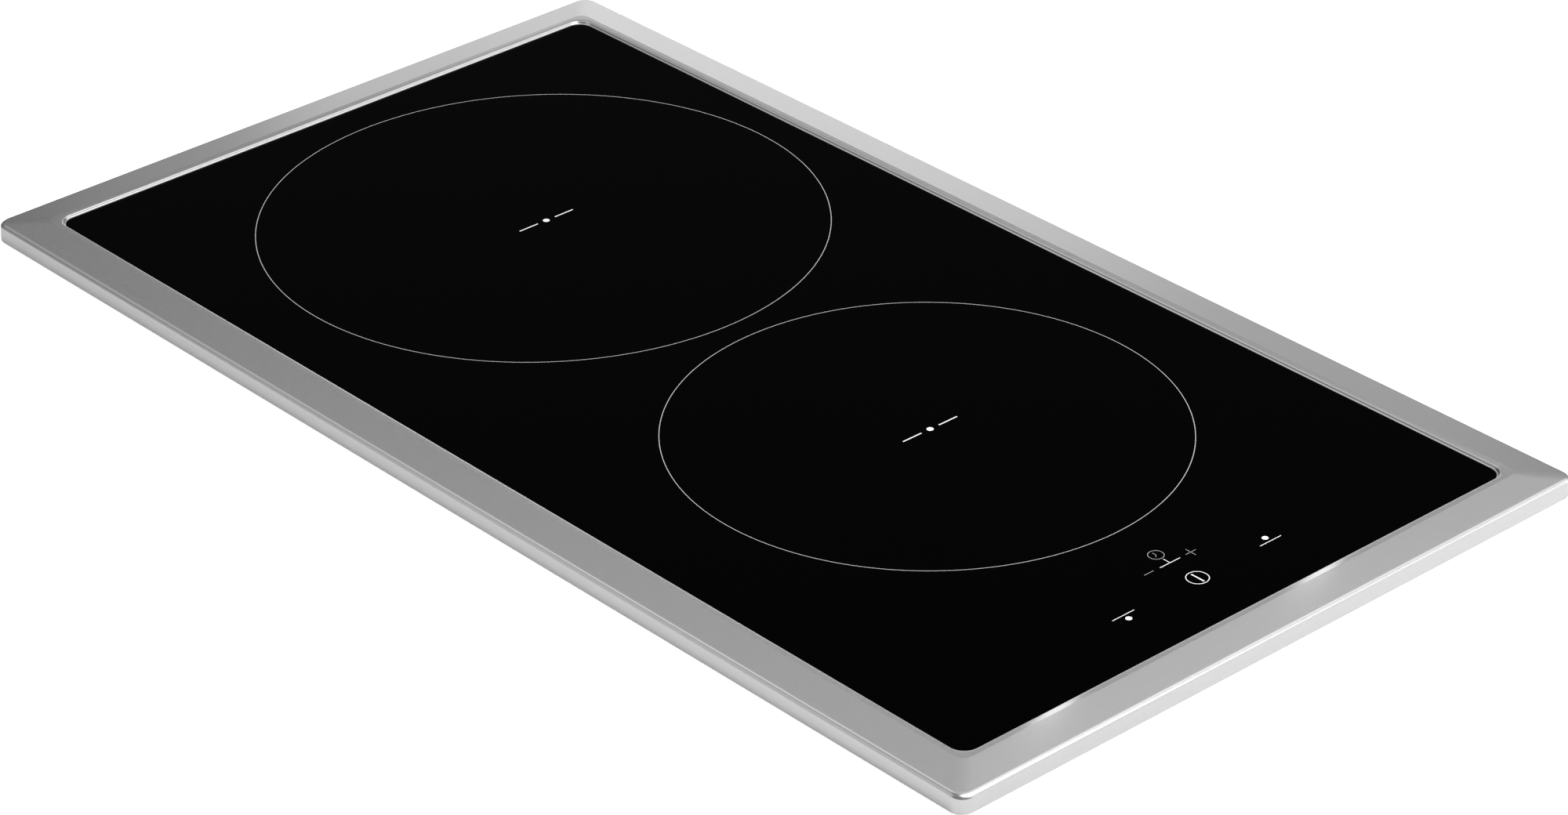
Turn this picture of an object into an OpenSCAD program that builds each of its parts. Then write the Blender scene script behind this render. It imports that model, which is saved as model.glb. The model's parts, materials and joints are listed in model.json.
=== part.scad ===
// Two-zone built-in induction cooktop, in millimetres.
// Origin: centre of the bottom of the case. X to the right, Y to the back, Z up; the keys are at the front.

/* [Overall] */
// Width of the trim frame
frame_w = 281; // [278:1:284]
// Depth of the trim frame, front to back
frame_d = 510; // [506:1:516]
// Width of the worktop cut-out
cutout_w = 260; // [258:1:262]
// Depth of the worktop cut-out, front to back
cutout_d = 490; // [488:1:492]
// Depth of the cooktop below the worktop's surface
below_worktop = 46; // [46:1:50]

/* [Trim frame] */
// Thickness of the stainless sheet
frame_sheet = 0.6; // [0.5:0.05:0.6]
// Height of the frame's bottom edge above the worktop
frame_gap = 0.3; // [0.2:0.1:0.5]
// Depth of the frame's bottom edge below the glass surface
skirt_drop = 6.8; // [6.6:0.1:7]
// Height of the flat ledge above the glass surface
ledge_rise = 1.3; // [1.3:0.05:1.4]
// Radius of the round edge between skirt and sloped face
edge_r = 1.8; // [1.6:0.1:2.2]
// Angle of the sloped face
slope_angle = 5.6; // [5:0.1:5.8]
// Distance from the outer face to the crease
crease_in = 13.7; // [13.4:0.1:13.9]
// Distance from the outer face to the inner end of the flat ledge
ledge_in = 15.9; // [15.7:0.1:16.2]
// Radius of the lip that turns down to the glass
lip_r = 0.7; // [0.7:0.1:0.9]
// Angle of the wall between lip and glass
wall_angle = 75; // [70:1:78]

/* [Glass] */
// Thickness of the glass-ceramic plate
glass_t = 4; // [4:0.5:4]
// Gap all round between the glass edge and the frame's outer face
glass_in = 7.5; // [7.5:0.1:8]

/* [Case] */
// Thickness of the case sheet
case_sheet = 0.8; // [0.7:0.1:1]
// Clearance between case and cut-out on each side
case_gap = 2; // [2:0.5:3]
// Height of the pockets that hold the clamps
pocket_h = 22; // [21:1:22]
// Width of a vent slot
vent_w = 4; // [3:0.5:4]

/* [Zones] */
// Distance of the rear zone's centre to the right of the middle
rear_zone_x = 5.7; // [0:0.1:8]
// Distance of the rear zone's centre behind the middle
rear_zone_y = 118.3; // [116:0.1:122]
// Radius of the rear coil carrier
rear_zone_r = 96; // [92:1:98]
// Distance of the front zone's centre to the right of the middle
front_zone_x = 3.7; // [0:0.1:8]
// Distance of the front zone's centre in front of the middle
front_zone_y = 86.6; // [86:0.1:90]
// Radius of the front coil carrier
front_zone_r = 82; // [78:1:84]
// Number of ferrite bars under each coil
ferrite_count = 8; // [6:2:8]

/* [Blower] */
// Distance of the blower's axis to the left of the middle
fan_left = 38; // [36:1:40]
// Distance of the blower's axis behind the middle
fan_back = 180; // [178:1:182]
// Radius of the impeller
impeller_r = 35; // [32:1:38]
// Number of impeller blades
blade_count = 24; // [16:1:30]

/* [Clamps] */
// Distance of a clamp screw from the middle, across
clamp_x = 114; // [113:1:115]
// Distance of a clamp screw from the middle, front to back
clamp_y = 176; // [174:1:178]
// Reach of a clamp arm from its screw
arm_reach = 38; // [34:1:40]
// Radius of a clamp screw's shank
clamp_screw_r = 2.5; // [2.5:0.5:2.5]

/* [Hidden] */
$fn = 48;
eps = 0.01;
run = 0.05; // radial clearance of a running fit
corner_steps = 8;

worktop_z = below_worktop;
glass_top = worktop_z + frame_gap + skirt_drop;
glass_bottom = glass_top - glass_t;
glass_w = frame_w - 2 * glass_in;
glass_d = frame_d - 2 * glass_in;

case_w = cutout_w - 2 * case_gap;
case_d = cutout_d - 2 * case_gap;
case_top = glass_bottom - 1;
case_r = 4;

// stack under the glass, from the top down
coil_gap = 0.2;
mica_t = 0.8;
winding_t = 4;
carrier_t = 2;
ferrite_t = 3.2;
mica_z = glass_bottom - coil_gap - mica_t;
winding_z = mica_z - winding_t;
carrier_z = winding_z - carrier_t;
plate_t = 1;
plate_z = 33;
plate_top = plate_z + plate_t;

// rails bonded under the glass along the long sides
rail_l = 440;
rail_leg = 12;
rail_t = 1;
bond_t = 0.6;
rail_top = glass_bottom - bond_t;
rail_x = case_w / 2 - case_sheet;
rail_screw_z = 43;
rail_screw_y = [-190, -63, 63, 190];

// board level
board_z = 6;
board_t = 1.6;
board_top = board_z + board_t;
board_x = [-85, 85];
board_y = [-95, 110];
spacer_places = [[-80, -91], [80, -91], [-4, 24], [80, 43], [-80, 106], [80, 106]];
post_x = 112;
post_y = [-140, 0, 140];

// stiffening beads pressed into the floor
bead_rows = [-130, -40, 50];
bead_r = 3;

// clamp pockets
pocket_x = 102;
pocket_y = [165, 225];
clamp_head_z = 8.8;
clamp_head_h = 3.2;
arm_z = clamp_head_z + clamp_head_h + 0.1;
arm_t = 2;
arm_w = 14;
arm_tail = 7;
arm_step = 26;
pad_top = 19;

// terminal recess in the back wall
recess_x = [9, 104];
recess_h = 41;
recess_y = case_d / 2 - 8;
tbox_x = [15, 97];
tbox_y = recess_y - 35;
tbox_z = [5, 35];
tbox_t = 1.6;
door_x = [39.8, 95.6];
door_axis = [recess_y + 4, 36.8];
door_pin_r = 1.22;
gland_at = [27, 20];
gland_bore = 6;
block_x = [43, 93];
block_poles = 5;

// keys under the glass: left zone, right zone, minus, timer, plus, on/off
keys = [[-31, -214.5], [36.3, -214.5], [-6.8, -201.9], [2.7, -201.9], [12.3, -201.9], [2.6, -214.4]];
control_x = [-58, 64];
control_y = [-234, -196];
control_z = 41.4;
holder_wall = 1.6;

// heat sink and what stands beside it
sink_x = [-82, -28];
sink_y = [-88, 104];
sink_h = 22.4;
transistor_y = [-70, -35, 0, 35];

fan_at = [-fan_left, fan_back];
fan_r = 44;
fan_base = 1;
fan_top = 27;
fan_wall = 1.6;
shaft_r = 1.5;
fan_screw_places = [for (a = [60, 170, -20]) fan_at + 48 * [cos(a), sin(a)]];
outlet_x = [fan_at[0] - fan_r, fan_at[0] + 8];
outlet_end = 112;

CORNERS = ["front_left", "front_right", "rear_left", "rear_right"];
ZONES = ["rear", "front"];
ZONE_NODES = ["coil_carrier", "coil_winding", "ferrite_bars", "mica_sheet", "coil_sensor", "coil_springs"];
FIXED_NODES = [
    "trim_frame", "glass_plate", "frame_bond", "worktop_seal", "glass_bond", "rail_left", "rail_right",
    "bottom_case", "case_screws", "clamp_nuts", "coil_plate", "plate_posts", "plate_screws",
    "power_board", "board_spacers", "heat_sink", "power_transistors", "bridge_rectifier",
    "smoothing_capacitors", "resonance_capacitors", "filter_choke", "filter_capacitors", "relays",
    "fan_housing", "fan_motor", "fan_screws", "fan_impeller",
    "control_board", "control_holder", "touch_springs", "light_guides", "buzzer", "flat_cable",
    "terminal_box", "terminal_block", "terminal_screws", "cable_gland", "gland_nut", "terminal_cover"
];

function side_x(i) = i % 2 == 0 ? -1 : 1;
function side_y(i) = i < 2 ? -1 : 1;
function zone_at(i) = i == 0 ? [rear_zone_x, rear_zone_y] : [front_zone_x, -front_zone_y];
function zone_r(i) = i == 0 ? rear_zone_r : front_zone_r;

// ---------- shared shapes ----------

module rounded_square(w, d, r) {
    square([w - 2 * r, d], center = true);
    square([w, d - 2 * r], center = true);
    for (sx = [-1, 1], sy = [-1, 1])
        translate([sx * (w / 2 - r), sy * (d / 2 - r)])
            circle(r);
}

module plate(w, d, r, z0, z1) {
    translate([0, 0, z0])
        linear_extrude(z1 - z0)
            rounded_square(w, d, r);
}

// box between two corners, each axis given as [low, high]
module block(x, y, z) {
    translate([x[0], y[0], z[0]])
        cube([x[1] - x[0], y[1] - y[0], z[1] - z[0]]);
}

// upright cylinder between two heights
module post(p, r, z0, z1) {
    translate([p[0], p[1], z0])
        cylinder(h = z1 - z0, r = r);
}

module ring(p, r_out, r_in, z0, z1) {
    difference() {
        post(p, r_out, z0, z1);
        post(p, r_in, z0 - 1, z1 + 1);
    }
}

// pan-head screw pointing down, its head resting on height z
module screw(p, z, shank_r, length, head_r, head_h) {
    difference() {
        union() {
            post(p, head_r, z, z + head_h);
            post(p, shank_r, z - length, z + eps);
        }
        for (a = [0, 90])
            translate([p[0], p[1], z + head_h])
                rotate(a)
                    cube([head_r * 1.1, head_r * 0.25, head_h], center = true);
    }
}

module slots(count, pitch, w, l) {
    for (i = [0 : count - 1])
        translate([(i - (count - 1) / 2) * pitch, 0])
            square([w, l], center = true);
}

// ---------- trim frame, glass and seals ----------

// radius of the frame's corners at a distance in from its outer face
function corner_r(inset) = lookup(inset, [
    [0, 5], [edge_r, 4.6], [crease_in, 3.6], [ledge_in, 5.6], [ledge_in + 2, 6.4]
]);

function arc(cx, cz, r, from, to, steps) = [
    for (k = [0 : steps]) let (a = from + (to - from) * k / steps) [cx + r * cos(a), cz + r * sin(a)]
];

// one face of the sheet as [inset, height above glass]; off is the depth below the outer face
function sheet_face(off) = let (
    edge_z = ledge_rise - (crease_in - edge_r * (1 - sin(slope_angle))) * tan(slope_angle)
        - edge_r * cos(slope_angle),
    lip_z = ledge_rise - lip_r,
    lip_end = lip_r - off,
    drop = lip_z + lip_end * cos(wall_angle) - 0.05
) concat(
    [[off, -skirt_drop]],
    arc(edge_r, edge_z, edge_r - off, 180, 90 + slope_angle, 6),
    [[crease_in + off * tan(slope_angle / 2), ledge_rise - off]],
    arc(ledge_in, lip_z, lip_end, 90, 90 - wall_angle, 4),
    [[ledge_in + lip_end * sin(wall_angle) + drop / tan(wall_angle), 0.05]]
);

function reversed(list) = [for (i = [len(list) - 1 : -1 : 0]) list[i]];

// rounded rectangle around the frame at one inset and height
function frame_loop(inset, h) = let (r = corner_r(inset), hx = frame_w / 2 - inset, hy = frame_d / 2 - inset) [
    for (q = [0 : 3], k = [0 : corner_steps])
        let (a = 90 * q + 90 * k / corner_steps, sx = q == 0 || q == 3 ? 1 : -1, sy = q < 2 ? 1 : -1)
            [sx * (hx - r) + r * cos(a), sy * (hy - r) + r * sin(a), glass_top + h]
];

module trim_frame() {
    section = concat(sheet_face(0), reversed(sheet_face(frame_sheet)));
    rows = len(section);
    cols = 4 * (corner_steps + 1);
    points = [for (s = section) each frame_loop(s[0], s[1])];
    faces = [
        for (i = [0 : rows - 1], j = [0 : cols - 1])
            let (
                a = i * cols + j,
                b = i * cols + (j + 1) % cols,
                c = (i + 1) % rows * cols + (j + 1) % cols,
                d = (i + 1) % rows * cols + j
            ) each [[a, c, b], [a, d, c]]
    ];
    color("silver")
        polyhedron(points, faces, convexity = 6);
}

module glass_plate() {
    color([0.04, 0.04, 0.04])
        plate(glass_w, glass_d, 4, glass_bottom, glass_top);
}

module seal_loop(inset, width, r, z0, z1) {
    difference() {
        plate(frame_w - 2 * inset, frame_d - 2 * inset, r, z0, z1);
        plate(frame_w - 2 * (inset + width), frame_d - 2 * (inset + width), r - 1, z0 - 1, z1 + 1);
    }
}

module frame_bond() {
    color("dimgray")
        seal_loop(crease_in + 0.2, 1.9, 3.5, glass_top, glass_top + ledge_rise - frame_sheet);
}

module worktop_seal() {
    color([0.15, 0.15, 0.16])
        seal_loop(4, 5.5, 4, worktop_z, glass_bottom);
}

module glass_bond() {
    color("dimgray")
        for (s = [-1, 1])
            block(
                [s * (rail_x - rail_leg / 2) - 5, s * (rail_x - rail_leg / 2) + 5],
                [-rail_l / 2, rail_l / 2], [rail_top, glass_bottom]
            );
}

module rail(s) {
    color("gainsboro")
        difference() {
            union() {
                translate([s * (rail_x - rail_leg / 2), 0, rail_top - rail_t / 2])
                    cube([rail_leg, rail_l, rail_t], center = true);
                translate([s * (rail_x - rail_t / 2), 0, rail_top - rail_leg / 2])
                    cube([rail_t, rail_l, rail_leg], center = true);
            }
            for (y = rail_screw_y)
                translate([s * rail_x, y, rail_screw_z])
                    rotate([0, 90, 0])
                        cylinder(h = 4 * rail_t, r = 1.6, center = true);
        }
}

// ---------- case ----------

module pockets(grow) {
    for (sx = [-1, 1], sy = [-1, 1])
        in_corner(sx, sy)
            block([pocket_x - grow, case_w / 2 + 1], [pocket_y[0] - grow, pocket_y[1] + grow],
                [-1, pocket_h + grow]);
}

// mirrors a shape made in the rear right corner into the corner given by two signs
module in_corner(sx, sy) {
    mirror([sx < 0 ? 1 : 0, 0, 0])
        mirror([0, sy < 0 ? 1 : 0, 0])
            children();
}

module terminal_recess(grow) {
    block([recess_x[0] - grow, recess_x[1] + grow], [recess_y - grow, case_d / 2 + 1], [-1, recess_h + grow]);
}

module beads(grow) {
    for (y = bead_rows)
        translate([0, y, -1.8])
            rotate([0, 90, 0])
                cylinder(h = 170 + 2 * grow, r = bead_r + grow, center = true);
}

module floor_vents() {
    translate([fan_at[0], fan_at[1], -1])
        linear_extrude(4)
            intersection() {
                circle(32);
                slots(9, 7, vent_w, 70);
            }
    translate([0, -196, -1])
        linear_extrude(4)
            slots(20, 9, vent_w, 36);
}

module side_vents() {
    for (s = [-1, 1], i = [0 : 13])
        translate([s * case_w / 2, (i - 6.5) * 9, 22])
            cube([4, vent_w, 14], center = true);
}

module bottom_case() {
    color("lightgray")
        difference() {
            plate(case_w, case_d, case_r, 0, case_top);
            difference() {
                plate(case_w - 2 * case_sheet, case_d - 2 * case_sheet, case_r - case_sheet,
                    case_sheet, case_top + 1);
                pockets(case_sheet);
                terminal_recess(case_sheet);
                beads(case_sheet);
            }
            pockets(0);
            terminal_recess(0);
            beads(0);
            floor_vents();
            side_vents();
            block([tbox_x[0] - 0.2, tbox_x[1] + 0.2], [recess_y - 2, recess_y + 1],
                [tbox_z[0] - 0.2, tbox_z[1] + 0.2]);
            for (i = [0 : 3])
                post(clamp_at(i), 4 + run, pocket_h - 1, pocket_h + 2);
            for (s = [-1, 1], y = rail_screw_y)
                translate([s * rail_x, y, rail_screw_z])
                    rotate([0, 90, 0])
                        cylinder(h = 4, r = 1.6, center = true);
        }
}

module case_screws() {
    color("silver")
        for (s = [-1, 1], y = rail_screw_y)
            translate([s * case_w / 2, y, rail_screw_z])
                rotate([0, s * 90, 0])
                    screw([0, 0], 0, 1.55, 6, 2.8, 1.6);
}

module coil_plate() {
    color("silver")
        difference() {
            union() {
                plate(case_w - 10, case_d - 10, 3, plate_z, plate_top);
                for (i = [0, 1], p = spring_places(i))
                    post(p, 3, plate_top - eps, plate_top + 6);
            }
            for (i = [0, 1])
                post(zone_at(i), 8, plate_z - 1, plate_top + 1);
            for (s = [-1, 1], y = post_y)
                post([s * post_x, y], 1.7, plate_z - 1, plate_top + 1);
            block([42, 58], [-189.5, -183], [plate_z - 1, plate_top + 1]);
            block([recess_x[0] - 3, recess_x[1] + 3], [tbox_y - 2, case_d / 2], [plate_z - 1, plate_top + 1]);
        }
}

module plate_posts() {
    color("goldenrod")
        for (s = [-1, 1], y = post_y)
            difference() {
                translate([s * post_x, y, case_sheet])
                    cylinder(h = plate_z - case_sheet, r = 4, $fn = 6);
                post([s * post_x, y], 1.55, plate_z - 10, plate_z + 1);
            }
}

module plate_screws() {
    color("silver")
        for (s = [-1, 1], y = post_y)
            screw([s * post_x, y], plate_top, 1.5, 8, 2.8, 1.6);
}

// ---------- zones ----------

function spring_places(i) = [
    for (k = [0 : 3]) zone_at(i) + 60 * [cos(22.5 + 90 * k), sin(22.5 + 90 * k)]
];

module coil_carrier(i) {
    r = zone_r(i);
    color("ivory")
        difference() {
            union() {
                post(zone_at(i), r, carrier_z, winding_z);
                ring(zone_at(i), r, r - 2, carrier_z, mica_z - 0.5);
                ring(zone_at(i), 20, 18, carrier_z, mica_z - 0.5);
            }
            for (p = spring_places(i))
                post(p, 3.4, carrier_z - 1, winding_z + 1);
            post(zone_at(i) + [0, 12], 2.5, carrier_z - 1, winding_z + 1);
        }
}

module coil_winding(i) {
    color("peru")
        ring(zone_at(i), zone_r(i) - 3, 22, winding_z, mica_z);
}

module ferrite_bars(i) {
    first = 26;
    last = zone_r(i) - 8;
    color([0.2, 0.2, 0.21])
        for (k = [0 : ferrite_count - 1])
            translate([each zone_at(i), carrier_z - ferrite_t])
                rotate(k * 360 / ferrite_count)
                    translate([first, -6, 0])
                        cube([last - first, 12, ferrite_t]);
}

module mica_sheet(i) {
    color("wheat")
        ring(zone_at(i), zone_r(i) - 1, 6, mica_z, mica_z + mica_t);
}

module coil_sensor(i) {
    color("white") {
        post(zone_at(i), 3.2, winding_z, mica_z);
        post(zone_at(i), 4.5, mica_z - eps, mica_z + mica_t);
    }
}

module coil_springs(i) {
    color("silver")
        for (p = spring_places(i))
            ring(p, 4.8, 4, plate_top, carrier_z);
}

// ---------- electronics ----------

module power_board() {
    color("darkgreen")
        difference() {
            block(board_x, board_y, [board_z, board_top]);
            for (p = spacer_places)
                post(p, 1.7, board_z - 1, board_top + 1);
        }
}

module board_spacers() {
    color("white")
        for (p = spacer_places) {
            post(p, 3, case_sheet, board_z);
            post(p, 1.6, board_z - eps, board_top + 2);
        }
}

module heat_sink() {
    fins = 8;
    pitch = (sink_x[1] - 5 - sink_x[0] - 1.5) / (fins - 1);
    color("gainsboro") {
        block(sink_x, sink_y, [board_top, board_top + 4]);
        block([sink_x[1] - 5, sink_x[1]], sink_y, [board_top + 4 - eps, board_top + sink_h]);
        for (k = [0 : fins - 2])
            block([sink_x[0] + k * pitch, sink_x[0] + k * pitch + 1.5], sink_y,
                [board_top + 4 - eps, board_top + sink_h]);
    }
}

module power_transistors() {
    color([0.12, 0.12, 0.12])
        for (y = transistor_y) {
            block([sink_x[1], sink_x[1] + 5], [y - 8, y + 8], [board_top + 3, board_top + 22]);
            for (k = [-1, 0, 1])
                block([sink_x[1] + 2, sink_x[1] + 2.8], [y + k * 5.4 - 0.7, y + k * 5.4 + 0.7],
                    [board_top, board_top + 3 + eps]);
        }
}

module bridge_rectifier() {
    color([0.12, 0.12, 0.12])
        block([sink_x[1], sink_x[1] + 4.6], [63, 93], [board_top + 2, board_top + 21]);
}

// box capacitors standing on the board, each given by its centre
module box_capacitors(places, w, d, h) {
    for (p = places)
        block([p[0] - w / 2, p[0] + w / 2], [p[1] - d / 2, p[1] + d / 2], [board_top, board_top + h]);
}

module smoothing_capacitors() {
    color("gold")
        box_capacitors([[-4, -60], [-4, -22]], 18, 34, 22);
}

module resonance_capacitors() {
    color("royalblue")
        box_capacitors([[20, -60], [38, -60], [20, -22], [38, -22]], 14, 32, 20);
}

module filter_capacitors() {
    color("gold")
        box_capacitors([[2, 84], [18, 84]], 12, 28, 18);
}

module filter_choke() {
    at = [56, 78];
    color("chocolate")
        translate([at[0], at[1], board_top + 8.5])
            rotate_extrude()
                translate([12, 0])
                    square([11, 15], center = true);
}

module relays() {
    color([0.1, 0.1, 0.12])
        for (y = [8, 32])
            block([60, 80], [y - 8, y + 8], [board_top, board_top + 16]);
}

// ---------- blower ----------

module blower_shell(inset, z) {
    post(fan_at, fan_r - inset, z[0], z[1]);
    block([outlet_x[0] + inset, outlet_x[1] - inset], [outlet_end - (inset > 0 ? 1 : 0), fan_at[1]], z);
}

module fan_housing() {
    color([0.16, 0.16, 0.17])
        difference() {
            union() {
                blower_shell(0, [fan_base, fan_top]);
                for (p = fan_screw_places)
                    post(p, 5, fan_base, fan_base + 3);
            }
            blower_shell(fan_wall, [fan_base + fan_wall, fan_top - fan_wall]);
            post(fan_at, 30, fan_base - 1, fan_base + fan_wall + 1);
            for (p = fan_screw_places)
                post(p, 1.6, fan_base - 1, fan_base + 4);
        }
}

module fan_screws() {
    color("silver")
        for (p = fan_screw_places)
            screw(p, fan_base + 3, 1.55, 3.1, 2.8, 1.6);
}

module fan_motor() {
    color("dimgray") {
        post(fan_at, 11, 17, fan_top - fan_wall);
        post(fan_at, shaft_r, 8, 17 + eps);
    }
}

module fan_impeller() {
    color([0.1, 0.1, 0.11])
        difference() {
            union() {
                ring(fan_at, 15, 13, 14, 24);
                post(fan_at, 15, 14, 15.2);
                post(fan_at, 4, 9, 14 + eps);
                ring(fan_at, impeller_r, 14.5, 22.8, 24);
                ring(fan_at, impeller_r, impeller_r - 1.5, 6, 7.2);
                for (k = [0 : blade_count - 1])
                    translate([each fan_at, 7])
                        rotate(k * 360 / blade_count)
                            translate([impeller_r - 9.4, 0, 0])
                                rotate(28)
                                    cube([9, 1, 16]);
            }
            post(fan_at, shaft_r + run, 8, 16);
        }
}

// ---------- controls ----------

module control_board() {
    color("darkgreen")
        block(control_x, control_y, [control_z, control_z + board_t]);
}

module control_holder() {
    x = [control_x[0] - 0.4, control_x[1] + 0.4];
    y = [control_y[0] - 0.4, control_y[1] + 0.4];
    color("ivory") {
        difference() {
            block([x[0] - holder_wall, x[1] + holder_wall], [y[0] - holder_wall, y[1] + holder_wall],
                [plate_top, control_z + board_t]);
            block(x, y, [plate_top + holder_wall, control_z + board_t + 1]);
        }
        for (px = [x[0] + 4, x[1] - 4], py = [y[0] + 4, y[1] - 4])
            post([px, py], 3, plate_top + holder_wall - eps, control_z);
    }
}

module touch_springs() {
    color("gold")
        for (p = keys)
            ring(p, 4, 3.4, control_z + board_t, glass_bottom);
}

module light_guides() {
    color("white")
        for (p = keys)
            post(p, 1.5, control_z + board_t, glass_bottom - 0.3);
}

module buzzer() {
    color([0.1, 0.1, 0.1])
        difference() {
            post([-46, -206], 6, control_z + board_t, control_z + board_t + 5);
            post([-46, -206], 1, control_z + board_t + 3, control_z + board_t + 7);
        }
}

module flat_cable() {
    x0 = 44;
    w = 12;
    t = 0.8;
    over = control_z + board_t + 3;
    under = board_top + 4;
    drop_y = -187;
    color("whitesmoke")
        translate([x0, 0, 0])
            rotate([90, 0, 90])
                linear_extrude(w)
                    polygon([
                        [-205, over], [drop_y, over], [drop_y + t, over - t], [drop_y + t, under + t],
                        [-88, under + t], [-88, under], [drop_y, under], [drop_y, over - t], [-205, over - t]
                    ]);
    color("white") {
        block([x0 - 2, x0 + w + 2], [-206, -200], [control_z + board_t, over - t]);
        block([x0 - 2, x0 + w + 2], [-93, -87], [board_top, under]);
    }
}

// ---------- terminal box ----------

module terminal_box() {
    color([0.13, 0.13, 0.14])
        difference() {
            union() {
                block(tbox_x, [tbox_y, recess_y + eps], tbox_z);
                block([tbox_x[0] - 3, tbox_x[1] + 3], [recess_y, recess_y + tbox_t], [2.4, 39.6]);
                for (x = [door_x[0] - 2.4, door_x[1] + 0.4])
                    block([x, x + 2], [recess_y + tbox_t - eps, recess_y + 5.9], [33.5, 38.9]);
            }
            block([tbox_x[0] + tbox_t, tbox_x[1] - tbox_t], [tbox_y + tbox_t, recess_y],
                [tbox_z[0] + tbox_t, tbox_z[1] - tbox_t]);
            block([41, tbox_x[1] - tbox_t], [recess_y - 1, recess_y + 3],
                [tbox_z[0] + tbox_t, tbox_z[1] - tbox_t]);
            gland_hole(8.05);
            translate([0, door_axis[0], door_axis[1]])
                rotate([0, 90, 0])
                    cylinder(h = 120, r = door_pin_r + 0.08);
        }
}

module gland_hole(r) {
    translate([gland_at[0], recess_y - 1, gland_at[1]])
        rotate([-90, 0, 0])
            cylinder(h = 4, r = r);
}

module gland_tube(r, y0, y1) {
    translate([gland_at[0], recess_y + y0, gland_at[1]])
        rotate([-90, 0, 0])
            cylinder(h = y1 - y0, r = r);
}

module cable_gland() {
    color([0.1, 0.1, 0.1])
        difference() {
            union() {
                gland_tube(8, -9, tbox_t + eps);
                gland_tube(11, tbox_t, tbox_t + 2);
                gland_tube(9.5, tbox_t + 2 - eps, tbox_t + 5.4);
            }
            gland_tube(gland_bore, -10, 8);
        }
}

module gland_nut() {
    color([0.1, 0.1, 0.1])
        difference() {
            translate([gland_at[0], recess_y - 5, gland_at[1]])
                rotate([-90, 30, 0])
                    cylinder(h = 5, r = 11.5, $fn = 6);
            gland_tube(8, -6, 1);
        }
}

function pole_x(k) = block_x[0] + (block_x[1] - block_x[0]) * (k + 0.5) / block_poles;

module terminal_block() {
    top = tbox_z[0] + tbox_t + 17;
    color("whitesmoke")
        difference() {
            block(block_x, [tbox_y + 5, tbox_y + 25], [tbox_z[0] + tbox_t, top]);
            for (k = [0 : block_poles - 1]) {
                post([pole_x(k), tbox_y + 15], 2.4, top - 6, top + 1);
                block([pole_x(k) - 2.5, pole_x(k) + 2.5], [tbox_y + 17, tbox_y + 26],
                    [tbox_z[0] + tbox_t + 3, tbox_z[0] + tbox_t + 8]);
            }
        }
}

module terminal_screws() {
    color("silver")
        for (k = [0 : block_poles - 1])
            screw([pole_x(k), tbox_y + 15], tbox_z[0] + tbox_t + 12, 1.2, 1, 2.2, 2);
}

module terminal_cover() {
    y = [recess_y + tbox_t + 0.3, recess_y + tbox_t + 1.9];
    color([0.13, 0.13, 0.14]) {
        block(door_x, y, [4.5, door_axis[1]]);
        block([62, 74], [y[1] - eps, y[1] + 1.6], [4.5, 6.1]);
        translate([door_x[0], door_axis[0], door_axis[1]])
            rotate([0, 90, 0])
                cylinder(h = door_x[1] - door_x[0], r = 1.7);
        translate([door_x[0] - 2.6, door_axis[0], door_axis[1]])
            rotate([0, 90, 0])
                cylinder(h = door_x[1] - door_x[0] + 5.2, r = door_pin_r);
    }
}

// ---------- clamps ----------

function clamp_at(i) = [side_x(i) * clamp_x, side_y(i) * clamp_y];

module clamp_nuts() {
    color("gold")
        for (i = [0 : 3])
            difference() {
                union() {
                    post(clamp_at(i), 4, pocket_h, pocket_h + 9);
                    post(clamp_at(i), 6, pocket_h + case_sheet, pocket_h + case_sheet + 1.2);
                }
                post(clamp_at(i), clamp_screw_r + run, pocket_h - 1, pocket_h + 10);
            }
}

module clamp_screw(i) {
    shank_end = pocket_h + 10;
    shank_start = clamp_head_z + clamp_head_h;
    color("silver")
        difference() {
            union() {
                post(clamp_at(i), 4.5, clamp_head_z, shank_start);
                post(clamp_at(i), clamp_screw_r, shank_start - eps, shank_end);
            }
            for (a = [0, 90])
                translate([each clamp_at(i), clamp_head_z])
                    rotate(a)
                        cube([5.4, 1.1, 3], center = true);
        }
}

// arm stowed along the pocket, its raised pad at the end
module clamp_arm(i) {
    color("gainsboro")
        translate([each clamp_at(i), arm_z])
            rotate(90 * side_y(i))
                difference() {
                    union() {
                        block([-arm_tail, arm_step + arm_t], [-arm_w / 2, arm_w / 2], [0, arm_t]);
                        block([arm_step, arm_step + arm_t], [-arm_w / 2, arm_w / 2], [0, pad_top - arm_z]);
                        block([arm_step, arm_reach], [-arm_w / 2, arm_w / 2],
                            [pad_top - arm_z - arm_t, pad_top - arm_z]);
                    }
                    post([0, 0], clamp_screw_r + 0.08, -1, arm_t + 1);
                }
}

// ---------- parts ----------

trim_frame();
glass_plate();
frame_bond();
worktop_seal();
glass_bond();
rail(-1);  // rail_left
rail(1);  // rail_right
bottom_case();
case_screws();
clamp_nuts();
coil_plate();
plate_posts();
plate_screws();
power_board();
board_spacers();
heat_sink();
power_transistors();
bridge_rectifier();
smoothing_capacitors();
resonance_capacitors();
filter_choke();
filter_capacitors();
relays();
fan_housing();
fan_motor();
fan_screws();
fan_impeller();
control_board();
control_holder();
touch_springs();
light_guides();
buzzer();
flat_cable();
terminal_box();
terminal_block();
terminal_screws();
cable_gland();
gland_nut();
terminal_cover();

for (i = [0, 1]) {
    coil_carrier(i);
    coil_winding(i);
    ferrite_bars(i);
    mica_sheet(i);
    coil_sensor(i);
    coil_springs(i);
}

for (i = [0 : 3]) {
    clamp_screw(i);
    clamp_arm(i);
}
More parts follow.
